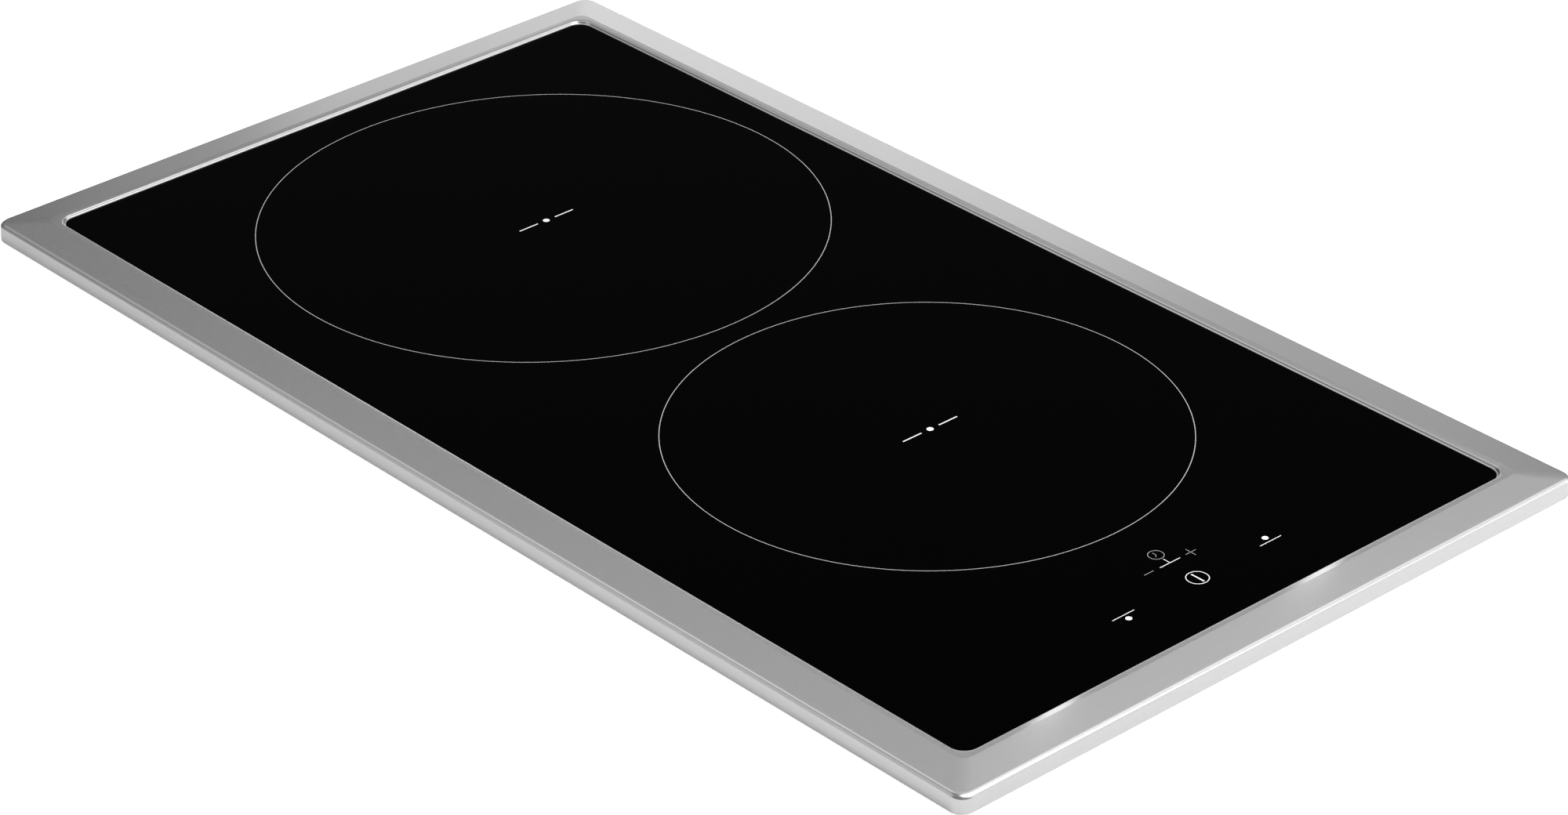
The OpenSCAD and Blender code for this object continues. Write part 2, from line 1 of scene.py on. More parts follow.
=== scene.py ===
"""Looks of a two-zone built-in induction cooktop, built round its CAD frame."""
import json
import math
import random

import bmesh
import bpy
from mathutils import Matrix, Vector

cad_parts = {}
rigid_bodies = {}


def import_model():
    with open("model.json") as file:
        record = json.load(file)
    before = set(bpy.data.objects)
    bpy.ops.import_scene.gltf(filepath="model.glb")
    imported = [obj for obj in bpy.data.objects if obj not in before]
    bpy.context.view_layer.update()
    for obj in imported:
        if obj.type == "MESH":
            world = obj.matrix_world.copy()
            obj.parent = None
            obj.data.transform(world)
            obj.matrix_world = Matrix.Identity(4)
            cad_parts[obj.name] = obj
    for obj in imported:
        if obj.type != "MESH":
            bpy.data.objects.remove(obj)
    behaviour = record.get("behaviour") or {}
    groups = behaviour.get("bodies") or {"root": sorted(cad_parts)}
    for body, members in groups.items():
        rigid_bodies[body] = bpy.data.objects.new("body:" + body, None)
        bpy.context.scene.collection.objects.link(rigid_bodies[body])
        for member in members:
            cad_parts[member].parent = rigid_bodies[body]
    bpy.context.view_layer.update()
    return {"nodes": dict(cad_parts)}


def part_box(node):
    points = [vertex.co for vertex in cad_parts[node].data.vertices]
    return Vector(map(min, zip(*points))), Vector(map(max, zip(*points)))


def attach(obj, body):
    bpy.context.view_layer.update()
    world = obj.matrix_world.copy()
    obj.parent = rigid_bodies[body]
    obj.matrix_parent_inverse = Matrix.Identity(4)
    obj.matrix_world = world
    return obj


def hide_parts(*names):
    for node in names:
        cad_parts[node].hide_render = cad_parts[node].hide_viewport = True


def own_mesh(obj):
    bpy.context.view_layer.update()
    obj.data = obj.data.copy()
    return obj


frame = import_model()
nodes = frame["nodes"]

MM = 0.001

frame_low, frame_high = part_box("trim_frame")
glass_low, glass_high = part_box("glass_plate")
_, case_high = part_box("bottom_case")
GLASS_TOP = glass_high[2]
WORKTOP_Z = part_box("worktop_seal")[0][2]
CORNERS = ("front_left", "front_right", "rear_left", "rear_right")
ZONES = ("rear", "front")


# ---------- first helpers ----------

def linear(code):
    """Linear colour, with alpha 1, of an sRGB hex value."""
    parts = [int(code[i:i + 2], 16) / 255 for i in (0, 2, 4)]
    return [*(c / 12.92 if c <= 0.04045 else ((c + 0.055) / 1.055) ** 2.4 for c in parts), 1.0]


def add(tree, kind, inputs=None, **settings):
    """Adds a node; inputs maps a socket's name or number to a value or to another node's socket."""
    made = tree.nodes.new(kind)
    for key, value in settings.items():
        setattr(made, key, value)
    for key, value in (inputs or {}).items():
        if isinstance(value, bpy.types.NodeSocket):
            tree.links.new(value, made.inputs[key])
        else:
            made.inputs[key].default_value = value
    return made


def placed(name, data):
    """Object of some data, linked to the scene."""
    made = bpy.data.objects.new(name, data)
    bpy.context.collection.objects.link(made)
    return made


def mesh_object(name, verts, faces):
    mesh = bpy.data.meshes.new(name)
    mesh.from_pydata([tuple(v) for v in verts], [], faces)
    mesh.update()
    return placed(name, mesh)


# ---------- camera, floor and light ----------

CAMERA_AT = (-1.0324, -1.1840, GLASS_TOP + 0.8725)
CAMERA_YAW = 41.53
CAMERA_PITCH = 29.77
CAMERA_ROLL = -0.705
CAMERA_LENS = 118.75


def make_camera():
    """Camera at the viewing angle: yaw from the back direction, pitch downwards, then roll."""
    yaw, pitch, roll = (math.radians(a) for a in (CAMERA_YAW, CAMERA_PITCH, CAMERA_ROLL))
    ahead = Vector((math.sin(yaw) * math.cos(pitch), math.cos(yaw) * math.cos(pitch), -math.sin(pitch)))
    right = Vector((math.cos(yaw), -math.sin(yaw), 0))
    up = right.cross(ahead)
    right, up = (
        right * math.cos(roll) + up * math.sin(roll),
        up * math.cos(roll) - right * math.sin(roll),
    )
    data = bpy.data.cameras.new("camera")
    data.lens = CAMERA_LENS
    data.sensor_width = 36
    data.clip_start = 0.05
    camera = placed("camera", data)
    turn = Matrix((right, up, -ahead)).transposed().to_4x4()
    camera.matrix_world = Matrix.Translation(CAMERA_AT) @ turn
    bpy.context.scene.camera = camera


FLOOR_REACH = 8.0
CUTOUT_HALF = (0.130, 0.245)
FLOOR_GLOW = 0.7


def make_floor():
    """Pale worktop plane at the height the cooktop rests on, open where the case drops through."""
    hx, hy = CUTOUT_HALF
    r = FLOOR_REACH
    inner = [(-hx, -hy), (hx, -hy), (hx, hy), (-hx, hy)]
    outer = [(-r, -r), (r, -r), (r, r), (-r, r)]
    verts = [(x, y, WORKTOP_Z) for x, y in inner + outer]
    faces = [(4 + i, 4 + (i + 1) % 4, (i + 1) % 4, i) for i in range(4)]
    floor = mesh_object("floor", verts, faces)
    mat = bpy.data.materials.new("pale_floor")
    mat.use_nodes = True
    shader = mat.node_tree.nodes["Principled BSDF"]
    shader.inputs["Base Color"].default_value = linear("F4F4F4")
    shader.inputs["Roughness"].default_value = 0.9
    shader.inputs["Specular IOR Level"].default_value = 0.1
    # a little glow that only the camera sees, so that the worktop stays white close to the frame
    seen = add(mat.node_tree, "ShaderNodeLightPath")
    glow = add(mat.node_tree, "ShaderNodeMath", {0: seen.outputs["Is Camera Ray"], 1: FLOOR_GLOW},
               operation="MULTIPLY")
    shader.inputs["Emission Color"].default_value = linear("FFFFFF")
    mat.node_tree.links.new(glow.outputs[0], shader.inputs["Emission Strength"])
    floor.data.materials.append(mat)


WORLD_SEEN = 0.95
# strength of the surroundings up to each elevation in degrees, as the surfaces see them
WORLD_BANDS = ((8, 0.06), (18, 0.15), (35, 0.25), (60, 0.48), (90, 0.0))
STAGE_MIDDLE = (0.0, 0.0, 0.05)
BACK_RIGHT_CORNER = (0.12, 0.235, 0.05)
LEDGE_LEFT = (-0.086, -0.2395, 0.0543)
LEDGE_RIGHT = (0.036, -0.2395, 0.0543)
# soft panels, strong on the front side, where the round edge and the skirt are brightest
PANELS = {
    # name: (azimuth from the back towards the right, elevation, power)
    "back_high": (0, 62, 2.0),
    "right_high": (90, 62, 2.75),
    "front_high": (180, 62, 17.0),
    "right_middle": (75, 38, 0.44),
    "right_front_middle": (105, 38, 2.1),
    "front_middle": (165, 38, 8.5),
    "right_front_low": (120, 15, 4.2),
    "front_right_low": (150, 15, 2.6),
    "left_high": (-15, 48, 0.9),
}
PANEL_AWAY = 1.4
PANEL_SIDE = 0.8
# small and large panels with a place of their own
OTHER_LIGHTS = {
    # name: (what it aims at, azimuth, elevation, distance, side, power)
    "back_right_low": (STAGE_MIDDLE, 45, 14, 1.3, 0.42, 0.82),
    "back_right_middle": (STAGE_MIDDLE, 45, 45, 1.3, 0.42, 0.17),
    "left_low": (STAGE_MIDDLE, -60, 22, 1.4, 1.0, 2.8),
    "corner_near": (BACK_RIGHT_CORNER, 25, 16, 0.35, 0.16, 0.054),
    "corner_far": (BACK_RIGHT_CORNER, 25, 16, 0.7, 0.3, 0.12),
    "corner_middle": (BACK_RIGHT_CORNER, 50, 18, 0.7, 0.3, 0.062),
    "corner_right": (BACK_RIGHT_CORNER, 78, 16, 0.7, 0.3, 0.17),
    "ledge_spot_left": (LEDGE_LEFT, 41.5, 30, 0.04, 0.012, 0.0012),
    "ledge_spot_right": (LEDGE_RIGHT, 41.5, 30, 0.04, 0.012, 0.0012),
}


def panel_light(name, aim, azimuth, elevation, distance, side, power):
    """Square panel that faces its aim from a direction, azimuth from +Y towards +X."""
    a, e = math.radians(azimuth), math.radians(elevation)
    away = Vector((math.sin(a) * math.cos(e), math.cos(a) * math.cos(e), math.sin(e)))
    data = bpy.data.lights.new(name, "AREA")
    data.size = side
    data.energy = power
    made = placed(name, data)
    made.location = Vector(aim) + distance * away
    made.rotation_euler = (-away).to_track_quat("-Z", "Y").to_euler()
    made.visible_camera = False


def shade_from_panels(made):
    """Keeps the panels' light off a polished dark piece, as black flags do in a studio."""
    flagged = bpy.data.collections.new("flagged")
    flagged.objects.link(made)
    flagged.collection_objects[0].light_linking.link_state = "EXCLUDE"
    for light in (o for o in bpy.data.objects if o.type == "LIGHT"):
        light.light_linking.receiver_collection = flagged


def make_lights():
    for name, (azimuth, elevation, power) in PANELS.items():
        panel_light(name, STAGE_MIDDLE, azimuth, elevation, PANEL_AWAY, PANEL_SIDE, power)
    for name, values in OTHER_LIGHTS.items():
        panel_light(name, *values)
    world = bpy.data.worlds.new("studio")
    world.use_nodes = True
    tree = world.node_tree
    coords = add(tree, "ShaderNodeTexCoord")
    height = add(tree, "ShaderNodeSeparateXYZ", {0: coords.outputs["Generated"]})
    glow, floor_z = None, -2.0
    for top, strength in WORLD_BANDS:
        top_z = math.sin(math.radians(top)) if top < 90 else 2.0
        band = {0: height.outputs[2], 1: (floor_z + top_z) / 2, 2: (top_z - floor_z) / 2}
        inside = add(tree, "ShaderNodeMath", band, operation="COMPARE")
        share = add(tree, "ShaderNodeMath", {0: inside.outputs[0], 1: strength}, operation="MULTIPLY")
        glow = share if glow is None else add(
            tree, "ShaderNodeMath", {0: glow.outputs[0], 1: share.outputs[0]}, operation="ADD")
        floor_z = top_z
    path = add(tree, "ShaderNodeLightPath")
    strength = add(tree, "ShaderNodeMix", {
        0: path.outputs["Is Camera Ray"], 2: glow.outputs[0], 3: WORLD_SEEN,
    })
    tree.links.new(strength.outputs[0], tree.nodes["Background"].inputs["Strength"])
    tree.nodes["Background"].inputs["Color"].default_value = linear("FFFFFF")
    bpy.context.scene.world = world
    bpy.context.scene.view_settings.view_transform = "Standard"


make_camera()
make_floor()
make_lights()


# ---------- helpers for pieces ----------

def smooth(made, angle=35):
    """Smooth shading that keeps edges sharper than the angle."""
    mesh = made.data
    mesh.shade_smooth()
    bm = bmesh.new()
    bm.from_mesh(mesh)
    limit = math.radians(angle)
    for edge in bm.edges:
        edge.smooth = len(edge.link_faces) == 2 and edge.calc_face_angle(0) < limit
    bm.to_mesh(mesh)
    bm.free()


def outward(made):
    """Merges doubles and turns all faces outwards."""
    bm = bmesh.new()
    bm.from_mesh(made.data)
    bmesh.ops.remove_doubles(bm, verts=bm.verts, dist=1e-7)
    bmesh.ops.recalc_face_normals(bm, faces=bm.faces)
    bm.to_mesh(made.data)
    bm.free()
    return made


def close_holes(made):
    """Fills every open rim with one face and turns all faces outwards."""
    bm = bmesh.new()
    bm.from_mesh(made.data)
    bmesh.ops.holes_fill(bm, edges=[e for e in bm.edges if e.is_boundary])
    bmesh.ops.recalc_face_normals(bm, faces=bm.faces)
    bm.to_mesh(made.data)
    bm.free()
    return made


def dress(made, material, body, slot_name, *replaced, angle=35):
    """Shades a finished piece, gives it its material, parents it to the body it rides on and hides the CAD
    parts it stands for.
    """
    smooth(made, angle)
    made.data.materials.clear()
    made.data.materials.append(material)
    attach(made, body)
    if replaced:
        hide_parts(*replaced)
    return made


def loft(name, loops, close_ends=False):
    """Quads between closed loops of the same length; close_ends joins the last loop to the first."""
    count, size = len(loops), len(loops[0])
    verts = [v for loop in loops for v in loop]
    faces = []
    for i in range(count if close_ends else count - 1):
        for j in range(size):
            a, b = i * size + j, i * size + (j + 1) % size
            c, d = (i + 1) % count * size + (j + 1) % size, (i + 1) % count * size + j
            faces.append((a, b, c, d))
    return mesh_object(name, verts, faces)


def rounded_loop(hx, hy, r, z, steps=16):
    """Points round a rectangle with round corners, anticlockwise seen from above."""
    points = []
    for quarter, (sx, sy) in enumerate(((1, 1), (-1, 1), (-1, -1), (1, -1))):
        for k in range(steps + 1):
            a = math.radians(90 * quarter + 90 * k / steps)
            points.append((sx * (hx - r) + r * math.cos(a), sy * (hy - r) + r * math.sin(a), z))
    return points


def arc(cx, cz, r, start, end, steps):
    """Points of an arc in the plane of a profile, angles in degrees."""
    angles = (math.radians(start + (end - start) * k / steps) for k in range(steps + 1))
    return [(cx + r * math.cos(a), cz + r * math.sin(a)) for a in angles]


def lookup(table, x):
    """Straight-line reading of a table of (key, value) pairs."""
    for (x0, y0), (x1, y1) in zip(table, table[1:]):
        if x <= x1:
            return y0 + (y1 - y0) * max(0, (x - x0) / (x1 - x0))
    return table[-1][1]


# ---------- materials ----------

def surface(name, dark, light, grain, rough, metallic=0.0, bump=0.0, stretch=(1, 1, 1), fixed=None):
    """Material with a fine variation; grain and bump height in metres, rough as (lowest, highest)."""
    mat = bpy.data.materials.new(name)
    mat.use_nodes = True
    tree = mat.node_tree
    shader = tree.nodes["Principled BSDF"]
    shader.inputs["Metallic"].default_value = metallic
    for socket, value in (fixed or {}).items():
        shader.inputs[socket].default_value = value
    coords = add(tree, "ShaderNodeTexCoord")
    place = add(tree, "ShaderNodeMapping", {"Vector": coords.outputs["Object"], "Scale": stretch})
    noise = add(tree, "ShaderNodeTexNoise", {
        "Vector": place.outputs[0], "Scale": 1 / grain, "Detail": 4.0,
    })
    height = noise.outputs[0]
    colour = add(tree, "ShaderNodeMix", {0: height, 6: linear(dark), 7: linear(light)}, data_type="RGBA")
    gloss = add(tree, "ShaderNodeMapRange", {"Value": height, "From Min": 0.3, "From Max": 0.7,
                                             "To Min": rough[0], "To Max": rough[1]})
    tree.links.new(colour.outputs[2], shader.inputs["Base Color"])
    tree.links.new(gloss.outputs[0], shader.inputs["Roughness"])
    if bump:
        relief = add(tree, "ShaderNodeBump", {"Height": height, "Distance": bump, "Strength": 1.0})
        tree.links.new(relief.outputs[0], shader.inputs["Normal"])
    return mat


def satin_stainless():
    # 18/10 stainless sheet, pressed and glass-bead blasted: an even silky grey with a very fine grain
    return surface("satin_stainless", "AAAAAA", "B3B3B3", 0.9 * MM, (0.30, 0.36), metallic=1.0,
                   bump=0.004 * MM)


def black_glass_ceramic():
    # ceramic glass, rolled and polished, black in the mass: deep black with a faint clear gloss
    return surface("black_glass_ceramic", "030303", "040404", 40 * MM, (0.04, 0.06),
                   fixed={"Specular IOR Level": 0.012})


def grey_screen_print():
    # ceramic paint screened and fired on the glass: a dull light grey
    return surface("grey_screen_print", "C4C4C4", "D2D2D2", 0.4 * MM, (0.5, 0.6))


def dark_screen_print():
    # the same paint thinned over the displays: a dull mid grey
    return surface("dark_screen_print", "6E6E6E", "7C7C7C", 0.4 * MM, (0.5, 0.6))


def ring_screen_print():
    # the finest lines of the print, laid thinner: a plain grey
    return surface("ring_screen_print", "939393", "A0A0A0", 0.4 * MM, (0.5, 0.6))


STAINLESS = satin_stainless()
GLASS = black_glass_ceramic()
PRINT = grey_screen_print()
PRINT_DARK = dark_screen_print()
PRINT_RING = ring_screen_print()


# ---------- trim frame ----------

SHEET = 0.6 * MM
EDGE_R = 1.8 * MM
SLOPE = 5.6
CREASE_IN = 13.7 * MM
CREASE_R = 1.2 * MM
LEDGE_IN = 15.3 * MM
LEDGE_FALL = 3.0
LIP_R = 3.0 * MM
LIP_TILT = 16
LIP_END_R = 0.5 * MM
WALL = 75
FOOT_W = 0.35 * MM
FOOT_H = 0.1 * MM
# radius of the frame's corners against the inset from its outer edge
CORNER_R = [
    (0, 5 * MM), (EDGE_R, 4.6 * MM), (CREASE_IN, 3.6 * MM), (LEDGE_IN, 5.6 * MM), (18.1 * MM, 6.4 * MM),
]
SUPPORT = 0.05 * MM


def straight(start, end):
    """A flat stretch with close points near both ends, so that it shades flat."""
    (x0, z0), (x1, z1) = start, end
    length = math.hypot(x1 - x0, z1 - z0)
    near = SUPPORT / length
    return [(x0 + (x1 - x0) * t, z0 + (z1 - z0) * t) for t in (near, 1 - near)]


def frame_profile():
    """Section of the frame as (inset, height above the glass), from the hem over the top to the glass."""
    skirt_bottom = frame_low[2] - GLASS_TOP
    top = frame_high[2] - GLASS_TOP
    slope, fall = math.radians(SLOPE), math.radians(LEDGE_FALL)
    # the crease is an arc that touches the top height
    crease_z = top - CREASE_R
    crease_start = (CREASE_IN - CREASE_R * math.sin(slope), crease_z + CREASE_R * math.cos(slope))
    edge_x = EDGE_R * (1 - math.sin(slope))
    edge_top = crease_start[1] - (crease_start[0] - edge_x) * math.tan(slope)
    edge_z = edge_top - EDGE_R * math.cos(slope)
    crease = arc(CREASE_IN, crease_z, CREASE_R, 90 + SLOPE, 90 - LEDGE_FALL, 8)
    ledge_end_z = crease[-1][1] - (LEDGE_IN - crease[-1][0]) * math.tan(fall)
    # the lip eases over before it turns down
    lip = arc(LEDGE_IN - LIP_R * math.sin(fall), ledge_end_z - LIP_R * math.cos(fall), LIP_R,
              90 - LEDGE_FALL, 90 - LIP_TILT, 5)
    tilt = math.radians(LIP_TILT)
    end_at = (lip[-1][0] - LIP_END_R * math.sin(tilt), lip[-1][1] - LIP_END_R * math.cos(tilt))
    lip += arc(*end_at, LIP_END_R, 90 - LIP_TILT, 90 - WALL, 6)[1:]
    wall = math.radians(WALL)
    wall_end = (lip[-1][0] + (lip[-1][1] - FOOT_H) / math.tan(wall), FOOT_H)
    foot_x = wall_end[0] + FOOT_W
    edge = arc(EDGE_R, edge_z, EDGE_R, 180, 90 + SLOPE, 14)
    hem = SHEET / 2
    outer = arc(hem, skirt_bottom + hem, hem, 270, 180, 5)
    outer += straight(outer[-1], edge[0]) + edge
    outer += straight(edge[-1], crease[0]) + crease
    outer += straight(crease[-1], lip[0]) + lip
    outer += straight(lip[-1], wall_end) + straight(wall_end, (foot_x, 0.02 * MM))
    outer += [(foot_x, 0.01 * MM)]
    inner = [(wall_end[0] - SHEET / math.sin(wall), 0.01 * MM)]
    inner += [(LEDGE_IN, ledge_end_z - SHEET), (crease[0][0], crease[0][1] - SHEET)]
    inner += arc(EDGE_R, edge_z, EDGE_R - SHEET, 90 + SLOPE, 180, 6)
    inner += arc(hem, skirt_bottom + hem, hem, 360, 270, 5)[:-1]
    return outer + inner


def trim_frame():
    hx, hy = frame_high[0], frame_high[1]
    loops = []
    for inset, height in frame_profile():
        r = lookup(CORNER_R, inset)
        loops.append(rounded_loop(hx - inset, hy - inset, r, GLASS_TOP + height, steps=20))
    made = outward(loft("frame_pressing", loops, close_ends=True))
    dress(made, STAINLESS, "cooktop", "stainless", "trim_frame", angle=40)


# ---------- glass and its print ----------

GLASS_R = 4 * MM
GLASS_BEVEL = 0.5 * MM


def glass_plate():
    hx, hy = glass_high[0], glass_high[1]
    low, high = glass_low[2], glass_high[2]
    steps = [(GLASS_BEVEL, low), (0, low + GLASS_BEVEL), (0, high - GLASS_BEVEL), (GLASS_BEVEL, high)]
    loops = [rounded_loop(hx - inset, hy - inset, GLASS_R - inset, z, steps=8) for inset, z in steps]
    made = close_holes(loft("glass_ceramic_plate", loops))
    dress(made, GLASS, "cooktop", "glass_ceramic", "glass_plate", angle=20)
    shade_from_panels(made)


PRINT_Z = GLASS_TOP + 0.01 * MM
PRINT_T = 0.02 * MM
# widths of the printed lines
RING_LINE = 0.26 * MM
DIM_LINE = 0.28 * MM
FINE_LINE = 0.32 * MM
SIGN_LINE = 0.55 * MM
WIDE_LINE = 0.6 * MM


def stroke_mesh(name, paths, width):
    """Flat printed lines along lists of (x, y) in metres, closed where first and last points meet."""
    verts, faces = [], []
    for path in paths:
        closed = math.dist(path[0], path[-1]) < 1e-7
        points = path[:-1] if closed else path
        count = len(points)
        first = len(verts)
        for i, (x, y) in enumerate(points):
            before = points[i - 1] if closed or i else points[0]
            after = points[(i + 1) % count] if closed or i < count - 1 else points[-1]
            dx, dy = after[0] - before[0], after[1] - before[1]
            length = math.hypot(dx, dy) or 1
            nx, ny = -dy / length * width / 2, dx / length * width / 2
            for z in (PRINT_Z, PRINT_Z + PRINT_T):
                verts += [(x - nx, y - ny, z), (x + nx, y + ny, z)]
        for i in range(count if closed else count - 1):
            a, b = first + 4 * i, first + 4 * ((i + 1) % count)
            faces += [(a + 1, b + 1, b + 3, a + 3), (a, a + 2, b + 2, b)]
            faces += [(a + 2, a + 3, b + 3, b + 2), (a, b, b + 1, a + 1)]
        if not closed:
            last = first + 4 * (count - 1)
            faces += [(first, first + 1, first + 3, first + 2), (last, last + 2, last + 3, last + 1)]
    return outward(mesh_object(name, verts, faces))


def circle_path(cx, cy, r, steps=48):
    angles = (2 * math.pi * k / steps for k in range(steps + 1))
    return [(cx + r * math.cos(a), cy + r * math.sin(a)) for a in angles]


REAR_ZONE = (5.7 * MM, 118.3 * MM)
FRONT_ZONE = (3.7 * MM, -86.6 * MM)
REAR_RING_R = 104.3 * MM
FRONT_RING_R = 90.3 * MM


def print_rings():
    paths = [circle_path(*REAR_ZONE, REAR_RING_R, 256), circle_path(*FRONT_ZONE, FRONT_RING_R, 256)]
    made = stroke_mesh("zone_rings", paths, RING_LINE)
    dress(made, PRINT_RING, "cooktop", "glass_ceramic")


def flat_discs(discs, steps=32):
    """Verts and faces of closed printed dots given as (x, y, r)."""
    verts, faces = [], []
    for x, y, r in discs:
        first = len(verts)
        for z in (PRINT_Z, PRINT_Z + PRINT_T):
            verts += [(px, py, z) for px, py in circle_path(x, y, r, steps)[:-1]]
        for i in range(steps):
            j = (i + 1) % steps
            faces.append((first + i, first + j, first + steps + j, first + steps + i))
        faces.append(tuple(first + steps + i for i in range(steps)))
        faces.append(tuple(first + i for i in reversed(range(steps))))
    return verts, faces


def joined(name, parts):
    """One mesh object from several objects, which are removed."""
    bm = bmesh.new()
    for part in parts:
        bm.from_mesh(part.data)
        bpy.data.objects.remove(part)
    made = placed(name, bpy.data.meshes.new(name))
    bm.to_mesh(made.data)
    bm.free()
    return made


def in_mm(path):
    return [(x * MM, y * MM) for x, y in path]


# middles of the key marks and sizes of their parts, in millimetres
ON_OFF = (2.6, -214.4)
TIMER = (2.7, -202.0)
CLOCK = (2.8, -195.5)
MINUS = (-6.8, -201.8)
PLUS = (12.3, -201.9)
RIGHT_KEY = (36.3, -214.6)
LEFT_KEY = (-31.0, -214.3)
KEY_LINE = 4.9
DOT_R = 1.15
DOT_OFF = 2.45
ON_OFF_R = 3.8
CLOCK_R = 2.7


def print_bright_marks():
    """On/off sign, timer line and the two zone selectors, each a line with a dot on its zone's side."""
    x, y = ON_OFF
    fine = [
        circle_path(x, y, ON_OFF_R),
        [(TIMER[0] - 4.7, TIMER[1]), (TIMER[0] + 4.6, TIMER[1])],
        [(TIMER[0], TIMER[1]), (TIMER[0], TIMER[1] + 3.0)],
        [(RIGHT_KEY[0] - KEY_LINE, RIGHT_KEY[1]), (RIGHT_KEY[0] + KEY_LINE, RIGHT_KEY[1])],
        [(LEFT_KEY[0] - KEY_LINE, LEFT_KEY[1]), (LEFT_KEY[0] + KEY_LINE, LEFT_KEY[1])],
    ]
    wide = [[(x, y - 3.0), (x, y + 2.8)]]
    dots = [(RIGHT_KEY[0], RIGHT_KEY[1] + DOT_OFF), (LEFT_KEY[0], LEFT_KEY[1] - DOT_OFF)]
    discs = [(dx * MM, dy * MM, DOT_R * MM) for dx, dy in dots]
    made = joined("key_marks_bright", [
        stroke_mesh("fine", [in_mm(p) for p in fine], FINE_LINE),
        stroke_mesh("wide", [in_mm(p) for p in wide], WIDE_LINE),
        outward(mesh_object("dots", *flat_discs(discs))),
    ])
    dress(made, PRINT, "cooktop", "glass_ceramic")


def print_dim_marks():
    """Clock, minus and plus signs, in the darker print."""
    x, y = CLOCK
    paths = [
        circle_path(x, y, CLOCK_R),
        [(x, y + 1.6), (x, y), (x - 0.9, y - 0.9)],
        [(MINUS[0] - 2.1, MINUS[1]), (MINUS[0] + 2.1, MINUS[1])],
        [(PLUS[0] - 2.3, PLUS[1]), (PLUS[0] + 2.3, PLUS[1])],
        [(PLUS[0], PLUS[1] - 2.3), (PLUS[0], PLUS[1] + 2.3)],
    ]
    made = stroke_mesh("key_marks_dim", [in_mm(p) for p in paths], DIM_LINE)
    dress(made, PRINT_DARK, "cooktop", "glass_ceramic")


SIGN_AT = ((7.1, 118.6), (5.2, -86.6))
SIGN_DASH = 8.5
SIGN_GAP = 4.0
SIGN_DOT_R = 1.25


def print_zone_signs():
    """A dot between two dashes in the middle of each zone, where a pan goes."""
    dashes, dots = [], []
    for cx, cy in SIGN_AT:
        for side in (-1, 1):
            dashes.append([(cx + side * SIGN_GAP, cy), (cx + side * (SIGN_GAP + SIGN_DASH), cy)])
        dots.append((cx * MM, cy * MM, SIGN_DOT_R * MM))
    made = joined("zone_signs", [
        stroke_mesh("dashes", [in_mm(p) for p in dashes], SIGN_LINE),
        outward(mesh_object("dots", *flat_discs(dots))),
    ])
    dress(made, PRINT, "cooktop", "glass_ceramic")


trim_frame()
glass_plate()
print_rings()
print_bright_marks()
print_dim_marks()
print_zone_signs()


# ---------- node trees for what repeats ----------

def node_tree(name, **sockets):
    """Geometry node tree with named inputs; the output is called Result."""
    tree = bpy.data.node_groups.new(name, "GeometryNodeTree")
    for label, kind in sockets.items():
        tree.interface.new_socket(name=label, in_out="INPUT", socket_type="NodeSocket" + kind)
    tree.interface.new_socket(name="Result", in_out="OUTPUT", socket_type="NodeSocketGeometry")
    given = tree.nodes.new("NodeGroupInput").outputs
    return tree, given


def finish_tree(tree, geometry, finish):
    real = add(tree, "GeometryNodeRealizeInstances", {"Geometry": geometry})
    painted = add(tree, "GeometryNodeSetMaterial", {"Geometry": real.outputs[0], "Material": finish})
    add(tree, "NodeGroupOutput", {"Result": painted.outputs[0]})
    return tree


def set_on_points_tree():
    """One part on every point: its Z follows the point's axis, and the point's spin turns it about it."""
    tree, given = node_tree(
        "set_on_points", Points="Geometry", Part="Object", Size="Float", Finish="Material")
    part = add(tree, "GeometryNodeObjectInfo", {"Object": given["Part"]})
    axis = add(tree, "GeometryNodeInputNamedAttribute", {"Name": "axis"}, data_type="FLOAT_VECTOR")
    spin = add(tree, "GeometryNodeInputNamedAttribute", {"Name": "spin"}, data_type="FLOAT")
    along = add(tree, "FunctionNodeAlignRotationToVector", {"Vector": axis.outputs[0]}, axis="Z")
    twist = add(tree, "FunctionNodeAxisAngleToRotation", {"Axis": (0, 0, 1), "Angle": spin.outputs[0]})
    turned = add(tree, "FunctionNodeRotateRotation", {0: along.outputs[0], 1: twist.outputs[0]},
                 rotation_space="LOCAL")
    copies = add(tree, "GeometryNodeInstanceOnPoints", {
        "Points": given["Points"], "Instance": part.outputs["Geometry"],
        "Rotation": turned.outputs[0], "Scale": given["Size"],
    })
    return finish_tree(tree, copies.outputs[0], given["Finish"])


